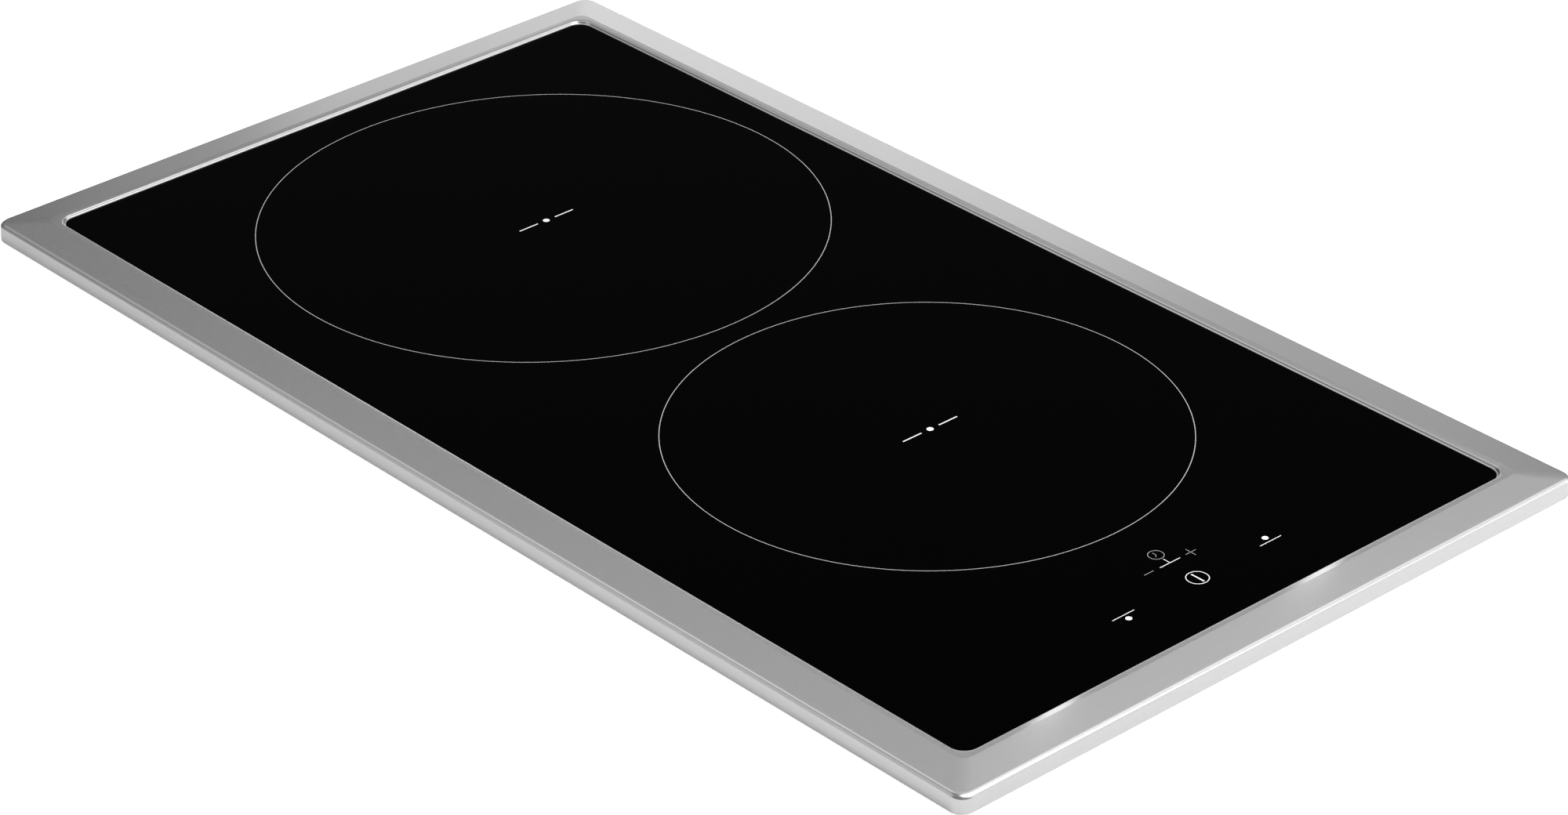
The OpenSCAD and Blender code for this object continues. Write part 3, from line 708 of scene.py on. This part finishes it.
def wound_wire_tree():
    """A stranded wire wound in a flat spiral or a helix; Lobes are the strands seen in its section."""
    tree, given = node_tree(
        "wound_wire", Base="Geometry", Start="Float", End="Float", Turns="Float", Height="Float",
        Steps="Int", Wire="Float", Valley="Float", Lobes="Int", Lay="Float", Finish="Material")
    path = add(tree, "GeometryNodeCurveSpiral", {
        "Resolution": given["Steps"], "Rotations": given["Turns"], "Start Radius": given["Start"],
        "End Radius": given["End"], "Height": given["Height"],
    })
    place = add(tree, "GeometryNodeSplineParameter")
    tilt = add(tree, "ShaderNodeMath", {0: place.outputs["Length"], 1: given["Lay"]},
               operation="MULTIPLY")
    twisted = add(tree, "GeometryNodeSetCurveTilt", {"Curve": path.outputs[0], "Tilt": tilt.outputs[0]})
    section = add(tree, "GeometryNodeCurveStar", {
        "Points": given["Lobes"], "Inner Radius": given["Valley"], "Outer Radius": given["Wire"],
    })
    swept = add(tree, "GeometryNodeCurveToMesh", {
        "Curve": twisted.outputs[0], "Profile Curve": section.outputs[0], "Fill Caps": True,
    })
    return finish_tree(tree, swept.outputs[0], given["Finish"])


def wire_on_path_tree():
    """A round wire that follows the edges of a path."""
    tree, given = node_tree("wire_on_path", Path="Geometry", Wire="Float", Finish="Material")
    path = add(tree, "GeometryNodeMeshToCurve", {"Mesh": given["Path"]})
    section = add(tree, "GeometryNodeCurvePrimitiveCircle", {"Resolution": 8, "Radius": given["Wire"]})
    swept = add(tree, "GeometryNodeCurveToMesh", {
        "Curve": path.outputs[0], "Profile Curve": section.outputs[0], "Fill Caps": True,
    })
    return finish_tree(tree, swept.outputs[0], given["Finish"])


SET_ON_POINTS = set_on_points_tree()
WOUND_WIRE = wound_wire_tree()
WIRE_ON_PATH = wire_on_path_tree()


def plain_mesh(name, made):
    """The object's evaluated shape as a plain mesh object; the first object is removed."""
    bpy.context.view_layer.update()
    found = made.evaluated_get(bpy.context.evaluated_depsgraph_get())
    mesh = bpy.data.meshes.new_from_object(found)
    bpy.data.objects.remove(made)
    return placed(name, mesh)


def grow(name, tree, base, **values):
    """Runs a node tree on a base object and keeps the result as a plain mesh."""
    modifier = base.modifiers.new(tree.name, "NODES")
    modifier.node_group = tree
    for item in tree.interface.items_tree:
        if item.item_type == "SOCKET" and item.in_out == "INPUT" and item.name in values:
            modifier[item.identifier] = values[item.name]
    return plain_mesh(name, base)


def points_object(places):
    """Loose points with an axis and a spin, given as (place, axis, spin)."""
    mesh = bpy.data.meshes.new("places")
    mesh.from_pydata([place for place, _, _ in places], [], [])
    axes = mesh.attributes.new("axis", "FLOAT_VECTOR", "POINT")
    axes.data.foreach_set("vector", [v for _, axis, _ in places for v in axis])
    spins = mesh.attributes.new("spin", "FLOAT", "POINT")
    spins.data.foreach_set("value", [spin for _, _, spin in places])
    return placed("places", mesh)


def set_out(name, part, places, material):
    """Copies of one part on all its places, as one mesh; the part itself is removed."""
    made = grow(name, SET_ON_POINTS, points_object(places), Part=part, Size=1.0, Finish=material)
    bpy.data.objects.remove(part)
    return made


def lathe(name, profile, centre=(0, 0), steps=64):
    """Solid turned from a closed profile of (radius, height), about an upright axis."""
    loops = [[(centre[0] + r * math.cos(a), centre[1] + r * math.sin(a), z)
              for a in (2 * math.pi * k / steps for k in range(steps))] for r, z in profile]
    return outward(loft(name, loops, close_ends=True))


# ---------- materials of the case and what it holds ----------

def spangled_zinc():
    # hot-dip galvanised sheet: grey metal with flat crystals 4 to 8 mm across, some lighter than others
    mat = surface("spangled_zinc_sheet", "8C9093", "A3A6A8", 1.5 * MM, (0.34, 0.46), metallic=1.0)
    tree = mat.node_tree
    shader = tree.nodes["Principled BSDF"]
    coords = add(tree, "ShaderNodeTexCoord")
    cells = add(tree, "ShaderNodeTexVoronoi", {
        "Vector": coords.outputs["Object"], "Scale": 1 / (6 * MM),
    })
    tone = add(tree, "ShaderNodeRGBToBW", {0: cells.outputs["Color"]})
    under = shader.inputs["Base Color"].links[0].from_socket
    spangle = add(tree, "ShaderNodeMix", {0: tone.outputs[0], 6: linear("7E8387"), 7: linear("B4B7B9")},
                  data_type="RGBA")
    both = add(tree, "ShaderNodeMix", {0: 0.55, 6: under, 7: spangle.outputs[2]}, data_type="RGBA")
    tree.links.new(both.outputs[2], shader.inputs["Base Color"])
    return mat


def zinc_plate():
    # bright zinc plating, clear passivated: smooth cool grey with faint cloudiness
    return surface("zinc_plated_steel", "A9ACAE", "BFC1C1", 0.8 * MM, (0.22, 0.34), metallic=1.0)


def strip_zinc():
    # plated steel strip, blanked and bent: slightly duller than the screws
    return surface("zinc_plated_strip", "92979A", "A9ACAE", 1.2 * MM, (0.3, 0.42), metallic=1.0,
                   bump=0.004 * MM)


def turned_brass():
    # free-cutting brass turned on a lathe: warm yellow with fine rings round its axis
    return surface("turned_brass", "B08D4A", "C6A35E", 0.4 * MM, (0.22, 0.34), metallic=1.0,
                   bump=0.004 * MM, stretch=(0.05, 0.05, 1))


def mill_aluminium():
    # mill-finish aluminium sheet: light grey with rolling lines along it
    return surface("mill_aluminium_sheet", "BDBFC1", "CDCECF", 1.2 * MM, (0.28, 0.4), metallic=1.0,
                   bump=0.003 * MM, stretch=(1, 0.02, 1))


def extruded_aluminium():
    # extruded aluminium: die lines run along the fins
    return surface("extruded_aluminium", "A7A9AB", "BEC0C1", 0.5 * MM, (0.3, 0.45), metallic=1.0,
                   bump=0.006 * MM, stretch=(1, 0.01, 1))


def solder_mask():
    # glass-epoxy board under green solder mask: copper tracks show through as lighter raised lines
    mat = surface("green_solder_mask", "0E4224", "124C2B", 2 * MM, (0.22, 0.3))
    tree = mat.node_tree
    shader = tree.nodes["Principled BSDF"]
    coords = add(tree, "ShaderNodeTexCoord")
    tracks = add(tree, "ShaderNodeTexBrick", {
        "Vector": coords.outputs["Object"], "Scale": 1.0, "Mortar Size": 0.35 * MM, "Mortar Smooth": 0.1,
        "Brick Width": 9 * MM, "Row Height": 2.2 * MM,
    }, offset=0.37, squash=0.6, squash_frequency=3)
    under = shader.inputs["Base Color"].links[0].from_socket
    both = add(tree, "ShaderNodeMix", {0: tracks.outputs["Fac"], 6: linear("1F6A3C"), 7: under},
               data_type="RGBA")
    tree.links.new(both.outputs[2], shader.inputs["Base Color"])
    relief = add(tree, "ShaderNodeBump", {"Height": tracks.outputs["Fac"], "Distance": 0.03 * MM},
                 invert=True)
    tree.links.new(relief.outputs[0], shader.inputs["Normal"])
    return mat


def ribbon_plastic():
    # flat cable: pale grey ribs 1.27 mm apart, one over each wire
    mat = surface("ribbon_cable_pvc", "B7B8B6", "C2C3C1", 1 * MM, (0.4, 0.5))
    tree = mat.node_tree
    coords = add(tree, "ShaderNodeTexCoord")
    # a wave texture of scale 1 has a period of 0.314 m
    ribs = add(tree, "ShaderNodeTexWave", {
        "Vector": coords.outputs["Object"], "Scale": 0.314 / (1.27 * MM),
    }, bands_direction="X")
    relief = add(tree, "ShaderNodeBump", {"Height": ribs.outputs["Fac"], "Distance": 0.25 * MM})
    tree.links.new(relief.outputs[0], tree.nodes["Principled BSDF"].inputs["Normal"])
    return mat


def cell_foam():
    # closed-cell foam strip: dull dark grey with cells under a millimetre
    mat = surface("closed_cell_foam", "1E1E20", "2A2A2C", 0.7 * MM, (0.85, 0.95),
                  fixed={"Specular IOR Level": 0.25})
    tree = mat.node_tree
    coords = add(tree, "ShaderNodeTexCoord")
    cells = add(tree, "ShaderNodeTexVoronoi", {
        "Vector": coords.outputs["Object"], "Scale": 1 / (0.6 * MM),
    })
    relief = add(tree, "ShaderNodeBump", {"Height": cells.outputs["Distance"], "Distance": 0.15 * MM})
    tree.links.new(relief.outputs[0], tree.nodes["Principled BSDF"].inputs["Normal"])
    return mat


ZINC_SHEET = spangled_zinc()
ZINC = zinc_plate()
ZINC_STRIP = strip_zinc()
BRASS = turned_brass()
ALU_SHEET = mill_aluminium()
ALU_PROFILE = extruded_aluminium()
BOARD = solder_mask()
RIBBON = ribbon_plastic()
FOAM = cell_foam()
# silicone bead, cured in place: dark grey and dull
SILICONE = surface("cured_silicone", "2B2B2C", "363637", 1.5 * MM, (0.55, 0.7), bump=0.02 * MM)
# nylon 66, injection moulded: warm white with a soft sheen
NYLON = surface("moulded_nylon", "D9D6CC", "E2DFD6", 0.6 * MM, (0.38, 0.48), bump=0.006 * MM,
                fixed={"Subsurface Weight": 0.05})
# epoxy moulding compound round a chip: black-grey with a fine matt grain
EPOXY = surface("moulded_epoxy", "1B1B1D", "242426", 0.15 * MM, (0.5, 0.65), bump=0.01 * MM)
# tin over copper: bright grey legs
TIN = surface("tinned_copper", "B6B7B4", "C9C9C5", 0.5 * MM, (0.2, 0.32), metallic=1.0)
# potted box capacitors, smooth moulded cases
CAP_YELLOW = surface("capacitor_case_yellow", "C99B1E", "D4A728", 1.0 * MM, (0.25, 0.34))
CAP_BLUE = surface("capacitor_case_blue", "1D3F86", "264A93", 1.0 * MM, (0.25, 0.34))
# enamelled copper strands: red-brown metal under clear varnish
COPPER = surface("enamelled_copper", "9A4E25", "B4652F", 0.5 * MM, (0.25, 0.38), metallic=0.85)
# sintered ferrite, ground: almost black, with fine pores
FERRITE = surface("sintered_ferrite", "27282A", "343537", 0.25 * MM, (0.45, 0.62), bump=0.012 * MM)
# glass-filled polyamide, moulded: ivory with faint flow marks
CARRIER = surface("glass_filled_polyamide", "C9C2AC", "D6D0BC", 0.8 * MM, (0.45, 0.6), bump=0.01 * MM,
                  stretch=(1, 0.3, 1))
# pressed mica: brown-grey flakes a few millimetres across
MICA = surface("pressed_mica", "8C7B5E", "B3A384", 3.0 * MM, (0.35, 0.55), bump=0.02 * MM)
# fired steatite: dull white
CERAMIC = surface("fired_steatite", "DAD8D1", "E4E2DC", 0.4 * MM, (0.35, 0.5), bump=0.005 * MM)
# cold-drawn spring wire: dark bright grey
SPRING = surface("drawn_spring_wire", "84878A", "9C9EA0", 0.4 * MM, (0.22, 0.34), metallic=1.0)
# black polyamide with a fine eroded grain
BLACK = surface("black_polyamide", "161617", "1F1F20", 0.25 * MM, (0.45, 0.6), bump=0.015 * MM)
# clear polycarbonate light guides: watery, slightly frosted at the ends
CLEAR = surface("clear_polycarbonate", "E6E8E6", "F0F1EF", 0.6 * MM, (0.08, 0.16),
                fixed={"Transmission Weight": 0.8, "IOR": 1.58})


# ---------- pieces that follow their CAD solids, with rounded edges ----------

def rounded(node, name, width, material, body, slot_name):
    """Merged copy of a CAD solid, its longer hard edges rounded by a small width."""
    bm = bmesh.new()
    bm.from_mesh(nodes[node].data)
    bmesh.ops.remove_doubles(bm, verts=bm.verts, dist=1e-6)
    bmesh.ops.dissolve_limit(bm, angle_limit=math.radians(1), verts=bm.verts, edges=bm.edges)
    hard = [e for e in bm.edges if len(e.link_faces) == 2 and e.calc_face_angle(0) > math.radians(30)
            and e.calc_length() > 3 * width]
    bmesh.ops.bevel(bm, geom=hard, offset=width, segments=2, profile=0.5, affect="EDGES",
                    clamp_overlap=True)
    mesh = bpy.data.meshes.new(name)
    bm.to_mesh(mesh)
    bm.free()
    return dress(placed(name, mesh), material, body, slot_name, node, angle=30)


def second_finish(made, material, chosen):
    """Gives a second material to the faces whose centre the test chooses."""
    made.data.materials.append(material)
    for face in made.data.polygons:
        if chosen(face.center):
            face.material_index = 1


ROUNDED_PIECES = [
    # node, piece, rounding in millimetres, material, slot
    ("frame_bond", "frame_bond_bead", 0.3, SILICONE, "silicone"),
    ("glass_bond", "rail_bond_beads", 0.15, SILICONE, "silicone"),
    ("worktop_seal", "worktop_foam_seal", 0.5, FOAM, "foam"),
    ("rail_left", "rail_angle_left", 0.25, ZINC_SHEET, "zinc_steel"),
    ("rail_right", "rail_angle_right", 0.25, ZINC_SHEET, "zinc_steel"),
    ("bottom_case", "bottom_case_pan", 0.25, ZINC_SHEET, "zinc_steel"),
    ("clamp_nuts", "clamp_rivet_nuts", 0.12, BRASS, "brass_nut"),
    ("plate_posts", "plate_hex_posts", 0.3, BRASS, "brass_nut"),
    ("coil_plate", "coil_plate_sheet", 0.12, ALU_SHEET, "aluminium_sheet"),
    ("power_board", "power_board_panel", 0.1, BOARD, "circuit_board"),
    ("board_spacers", "board_snap_spacers", 0.12, NYLON, "nylon_white"),
    ("heat_sink", "heat_sink_profile", 0.2, ALU_PROFILE, "aluminium_profile"),
    ("power_transistors", "power_transistor_bodies", 0.12, EPOXY, "component_black"),
    ("bridge_rectifier", "bridge_rectifier_body", 0.4, EPOXY, "component_black"),
    ("smoothing_capacitors", "smoothing_capacitor_boxes", 0.9, CAP_YELLOW, "capacitor_yellow"),
    ("filter_capacitors", "filter_capacitor_boxes", 0.8, CAP_YELLOW, "capacitor_yellow"),
    ("resonance_capacitors", "resonance_capacitor_boxes", 0.8, CAP_BLUE, "capacitor_blue"),
    ("relays", "relay_boxes", 0.5, EPOXY, "component_black"),
    ("fan_motor", "fan_motor_can", 0.15, EPOXY, "component_black"),
    ("control_board", "control_board_panel", 0.1, BOARD, "circuit_board"),
    ("control_holder", "control_holder_tray", 0.12, CARRIER, "carrier_plastic"),
    ("light_guides", "light_guide_pins", 0.06, CLEAR, "clear_guide"),
    ("buzzer", "buzzer_can", 0.2, EPOXY, "component_black"),
    ("flat_cable", "ribbon_cable", 0.15, RIBBON, "flat_wire"),
    ("terminal_box", "terminal_box_shell", 0.2, BLACK, "black_plastic"),
    ("terminal_block", "terminal_block_body", 0.2, NYLON, "nylon_white"),
    ("cable_gland", "cable_gland_body", 0.2, BLACK, "black_plastic"),
    ("gland_nut", "gland_hex_nut", 0.3, BLACK, "black_plastic"),
]


def rounded_pieces():
    made = {}
    for node, name, width, material, slot_name in ROUNDED_PIECES:
        made[node] = rounded(node, name, width * MM, material, "cooktop", slot_name)
    legs_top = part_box("power_transistors")[0][2] + 2.9 * MM
    second_finish(made["power_transistors"], TIN, lambda c: c.z < legs_top)
    rounded("terminal_cover", "terminal_cover_flap", 0.2 * MM, BLACK, "terminal_door", "black_plastic")
    for zone in ZONES:
        body = zone + "_coil"
        rounded("coil_carrier_" + zone, "coil_tray_" + zone, 0.15 * MM, CARRIER, body, "carrier_plastic")
        rounded("ferrite_bars_" + zone, "ferrite_star_" + zone, 0.4 * MM, FERRITE, body, "ferrite")
        rounded("mica_sheet_" + zone, "mica_disc_" + zone, 0.08 * MM, MICA, body, "mica")
        rounded("coil_sensor_" + zone, "coil_sensor_bead_" + zone, 0.1 * MM, CERAMIC, body,
                "ceramic_white")
    for corner in CORNERS:
        rounded("clamp_arm_" + corner, "clamp_strip_" + corner, 0.3 * MM, ZINC_STRIP, corner + "_clamp",
                "clamp_steel")


def middle(node):
    low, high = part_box(node)
    return (low + high) / 2


# ---------- screws ----------

def screw_shape(head_r, head_h, shank_r, length, pitch, steps=24):
    """Pan-head screw with a cross recess and a helical thread, its head standing on z = 0."""
    loops = []

    def ring(r, z):
        loops.append([(r * math.cos(a), r * math.sin(a), z)
                      for a in (2 * math.pi * k / steps for k in range(steps))])

    dome = [(head_r * math.sin(math.radians(a)), head_h * (0.5 + 0.5 * math.cos(math.radians(a))))
            for a in (1, 15, 30, 45, 60, 75, 90)]
    for r, z in dome:
        ring(r, z)
    ring(head_r, 0.15 * head_h)
    ring(head_r - 0.1 * MM, 0)
    ring(shank_r, 0)
    rows = round((length - 0.6 * MM) / pitch * 4)
    depth = 0.3 * pitch
    for row in range(1, rows + 1):
        z = -row * (length - 0.6 * MM) / rows
        ridge = []
        for k in range(steps):
            phase = (z / pitch - k / steps) % 1
            r = shank_r - depth * abs(2 * phase - 1)
            a = 2 * math.pi * k / steps
            ridge.append((r * math.cos(a), r * math.sin(a), z))
        loops.append(ridge)
    ring(shank_r - depth - 0.4 * MM, -length)
    made = close_holes(loft("screw", loops))
    cross_verts = []
    arm, half, low = head_r * 0.55, head_r * 0.11, head_h * 0.4
    outline = [(arm, half), (half, half), (half, arm), (-half, arm), (-half, half), (-arm, half),
               (-arm, -half), (-half, -half), (-half, -arm), (half, -arm), (half, -half), (arm, -half)]
    for shrink, z in ((0.55, low), (1.0, head_h * 1.3)):
        cross_verts += [(x * shrink, y * shrink, z) for x, y in outline]
    cross_faces = [(i, (i + 1) % 12, 12 + (i + 1) % 12, 12 + i) for i in range(12)]
    cross_faces += [tuple(range(12, 24)), tuple(reversed(range(12)))]
    cross = outward(mesh_object("cross", cross_verts, cross_faces))
    cut = made.modifiers.new("recess", "BOOLEAN")
    cut.object = cross
    cut.solver = "EXACT"
    result = plain_mesh("screw", made)
    bpy.data.objects.remove(cross)
    return result


FAN_AXIS = (-38 * MM, 180 * MM)
DRAW = random.Random(7)


def screws():
    """Every screw set, with its cross recess turned as it happened to stop."""
    def places(points, axis):
        return [(p, axis, DRAW.uniform(0, math.pi / 2)) for p in points]

    case_x = case_high[0]
    rows = [y * MM for y in (-190, -63, 63, 190)]
    case = places([(case_x, y, 43 * MM) for y in rows], (1, 0, 0))
    case += places([(-case_x, y, 43 * MM) for y in rows], (-1, 0, 0))
    plate_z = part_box("plate_screws")[1][2] - 1.6 * MM
    plate = places([(s * 112 * MM, y * MM, plate_z) for s in (-1, 1) for y in (-140, 0, 140)], (0, 0, 1))
    fan_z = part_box("fan_screws")[1][2] - 1.6 * MM
    around = [math.radians(a) for a in (60, 170, -20)]
    fan = places([(FAN_AXIS[0] + 48 * MM * math.cos(a), FAN_AXIS[1] + 48 * MM * math.sin(a), fan_z)
                  for a in around], (0, 0, 1))
    low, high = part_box("terminal_screws")
    pitch = (high[0] - low[0] - 4.4 * MM) / 4
    poles = [(low[0] + 2.2 * MM + k * pitch, (low[1] + high[1]) / 2, high[2] - 2 * MM) for k in range(5)]
    terminal = places(poles, (0, 0, 1))
    sets = [
        ("case_pan_screws", "case_screws", case, (2.8, 1.6, 1.55, 6.0, 0.8)),
        ("plate_pan_screws", "plate_screws", plate, (2.8, 1.6, 1.5, 8.0, 0.5)),
        ("fan_pan_screws", "fan_screws", fan, (2.8, 1.6, 1.55, 3.1, 0.8)),
        ("terminal_clamp_screws", "terminal_screws", terminal, (2.2, 2.0, 1.2, 1.0, 0.5)),
    ]
    for name, node, where, sizes in sets:
        made = set_out(name, screw_shape(*(v * MM for v in sizes)), where, ZINC)
        dress(made, ZINC, "cooktop", "screw_steel", node, angle=30)
    for corner in CORNERS:
        node = "clamp_screw_" + corner
        low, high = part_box(node)
        at = middle(node)
        where = [((at[0], at[1], low[2] + 3.2 * MM), (0, 0, -1), 0.3)]
        shape = screw_shape(4.5 * MM, 3.2 * MM, 2.5 * MM, high[2] - low[2] - 3.2 * MM, 0.8 * MM)
        made = set_out("clamp_bolt_" + corner, shape, where, ZINC)
        dress(made, ZINC, corner + "_screw", "screw_steel", node, angle=30)


# ---------- coils and springs ----------

def empty_base():
    return mesh_object("base", [], [])


def zone_centre(zone):
    at = middle("coil_winding_" + zone)
    return at[0], at[1]


def windings():
    """Flat spiral of litz wire in each tray, from the inner collar to the rim."""
    inner = 22 * MM
    for zone in ZONES:
        node = "coil_winding_" + zone
        low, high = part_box(node)
        outer = (high[0] - low[0]) / 2
        wire = (high[2] - low[2]) / 2 - 0.05 * MM
        turns = round((outer - inner - 2 * wire) / (2 * wire + 0.05 * MM) * 2) / 2
        made = grow("litz_spiral_" + zone, WOUND_WIRE, empty_base(), Start=inner + wire,
                    End=outer - wire, Turns=turns, Height=0.0, Steps=150, Wire=wire,
                    Valley=wire * 0.84, Lobes=7, Lay=2 * math.pi / (34 * MM), Finish=COPPER)
        cx, cy = zone_centre(zone)
        made.data.transform(Matrix.Translation((cx, cy, (low[2] + high[2]) / 2)))
        dress(outward(made), COPPER, zone + "_coil", "copper_wire", node, angle=60)


def helix(radius, wire, height, turns):
    return outward(grow("helix", WOUND_WIRE, empty_base(), Start=radius, End=radius, Turns=turns,
                        Height=height - 2 * wire, Steps=28, Wire=wire, Valley=wire * 0.98, Lobes=5,
                        Lay=0.0, Finish=SPRING))


def coil_springs():
    """Four compression springs hold each tray up against the glass."""
    for zone in ZONES:
        node = "coil_springs_" + zone
        low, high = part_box(node)
        cx, cy = zone_centre(zone)
        wire = 0.4 * MM
        places = []
        for k in range(4):
            a = math.radians(22.5 + 90 * k)
            at = (cx + 60 * MM * math.cos(a), cy + 60 * MM * math.sin(a), low[2] + wire)
            places.append((at, (0, 0, 1), 0.7 * k))
        spring = helix(4.4 * MM, wire, high[2] - low[2], 4.5)
        made = set_out("tray_springs_" + zone, spring, places, SPRING)
        dress(made, SPRING, "cooktop", "spring_steel", node, angle=60)
        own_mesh(made)


# middles of the sensor springs, in millimetres
KEYS = [(-31, -214.5), (36.3, -214.5), (-6.8, -201.9), (2.7, -201.9), (12.3, -201.9), (2.6, -214.4)]


def touch_springs():
    """A sensor spring under each key, from the board to the glass."""
    low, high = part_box("touch_springs")
    wire = 0.3 * MM
    places = [((x * MM, y * MM, low[2] + wire), (0, 0, 1), 0.5 * i) for i, (x, y) in enumerate(KEYS)]
    made = set_out("key_sensor_springs", helix(3.7 * MM, wire, high[2] - low[2], 5.0), places, SPRING)
    dress(made, SPRING, "cooktop", "spring_steel", "touch_springs", angle=60)


CHOKE_TURNS = 24


def filter_choke():
    """Toroid core with one layer of thick enamelled wire round it."""
    at = middle("filter_choke")
    low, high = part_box("filter_choke")
    wire = 0.8 * MM
    reach = (high[0] - low[0]) / 2
    half_w, half_h = 5.5 * MM, (high[2] - low[2]) / 2
    mean = reach - half_w
    inset = 2 * wire + 0.05 * MM
    core = []
    for a in range(0, 360, 15):
        c, s = math.cos(math.radians(a)), math.sin(math.radians(a))
        core.append((mean + (half_w - inset) * max(-1, min(1, 1.25 * c)),
                     at[2] + (half_h - inset) * max(-1, min(1, 1.25 * s))))
    made = lathe("choke_core", core, (at[0], at[1]), 72)
    dress(made, FERRITE, "cooktop", "ferrite", angle=40)
    points = []
    steps = 28
    for k in range(CHOKE_TURNS * steps + 1):
        a = 2 * math.pi * k / steps
        round_angle = math.radians(10 + 340 * k / (CHOKE_TURNS * steps))
        c, s = max(-1, min(1, 1.3 * math.cos(a))), max(-1, min(1, 1.3 * math.sin(a)))
        r = mean + (half_w - wire) * c
        points.append((at[0] + r * math.cos(round_angle), at[1] + r * math.sin(round_angle),
                       at[2] + (half_h - wire) * s))
    path = bpy.data.meshes.new("path")
    path.from_pydata(points, [(i, i + 1) for i in range(len(points) - 1)], [])
    wound = grow("choke_winding", WIRE_ON_PATH, placed("path", path), Wire=wire, Finish=COPPER)
    dress(outward(wound), COPPER, "cooktop", "copper_wire", "filter_choke", angle=60)


# ---------- blower ----------

BLADES = 24
# the blade's curve in millimetres: start radius, run outwards, sweep forwards and how fast it bends
BLADE_START = 26.0
BLADE_RUN = 8.4
BLADE_SWEEP = 4.2
BLADE_BEND = 1.7
BLADE_HALF_T = 0.45
# sections of the hub and of the lower band, as (radius, height) in millimetres
HUB = [
    (1.6, 9), (3.6, 9), (4, 9.4), (4, 13.6), (4.4, 14), (14.2, 14), (15, 14.8), (15, 22.4), (15.4, 22.8),
    (34.7, 22.8), (35, 23.1), (35, 23.7), (34.7, 24), (13.3, 24), (13, 23.7), (13, 15.6), (12.6, 15.2),
    (1.6, 15.2),
]
BAND = [(33.6, 6), (34.8, 6), (35, 6.2), (35, 7), (34.8, 7.2), (33.6, 7.2), (33.5, 7.1), (33.5, 6.1)]


def impeller():
    """Hub, two rings and forward-curved blades, one moulding that turns with the rotor."""
    parts = [lathe("part", [(r * MM, z * MM) for r, z in profile], FAN_AXIS, 96) for profile in (HUB, BAND)]
    verts, count = [], 9
    for z in (7.0, 23.0):
        for side in (-BLADE_HALF_T, BLADE_HALF_T):
            for i in range(count):
                t = i / (count - 1)
                dx, dy = BLADE_RUN, BLADE_SWEEP * BLADE_BEND * t ** (BLADE_BEND - 1)
                n = math.hypot(dx, dy)
                x = BLADE_START + BLADE_RUN * t - side * dy / n
                y = BLADE_SWEEP * t ** BLADE_BEND + side * dx / n
                verts.append((x * MM, y * MM, z * MM))
    faces = []
    for i in range(count - 1):
        a, b, c, d = i, count + i, 2 * count + i, 3 * count + i
        faces += [(a, a + 1, c + 1, c), (b, d, d + 1, b + 1), (a, b, b + 1, a + 1), (c, c + 1, d + 1, d)]
    last = count - 1
    faces += [(0, 2 * count, 3 * count, count), (last, count + last, 3 * count + last, 2 * count + last)]
    blade = outward(mesh_object("blade", verts, faces))
    places = [((*FAN_AXIS, 0.0), (0, 0, 1), 2 * math.pi * k / BLADES) for k in range(BLADES)]
    parts.append(set_out("blades", blade, places, BLACK))
    dress(joined("blower_wheel", parts), BLACK, "fan_rotor", "black_plastic", "fan_impeller", angle=40)


def fan_housing():
    """The scroll keeps its CAD shape; only its finish is set."""
    mesh = nodes["fan_housing"].data
    mesh.materials.clear()
    mesh.materials.append(BLACK)


rounded_pieces()
screws()
windings()
coil_springs()
touch_springs()
filter_choke()
impeller()
fan_housing()
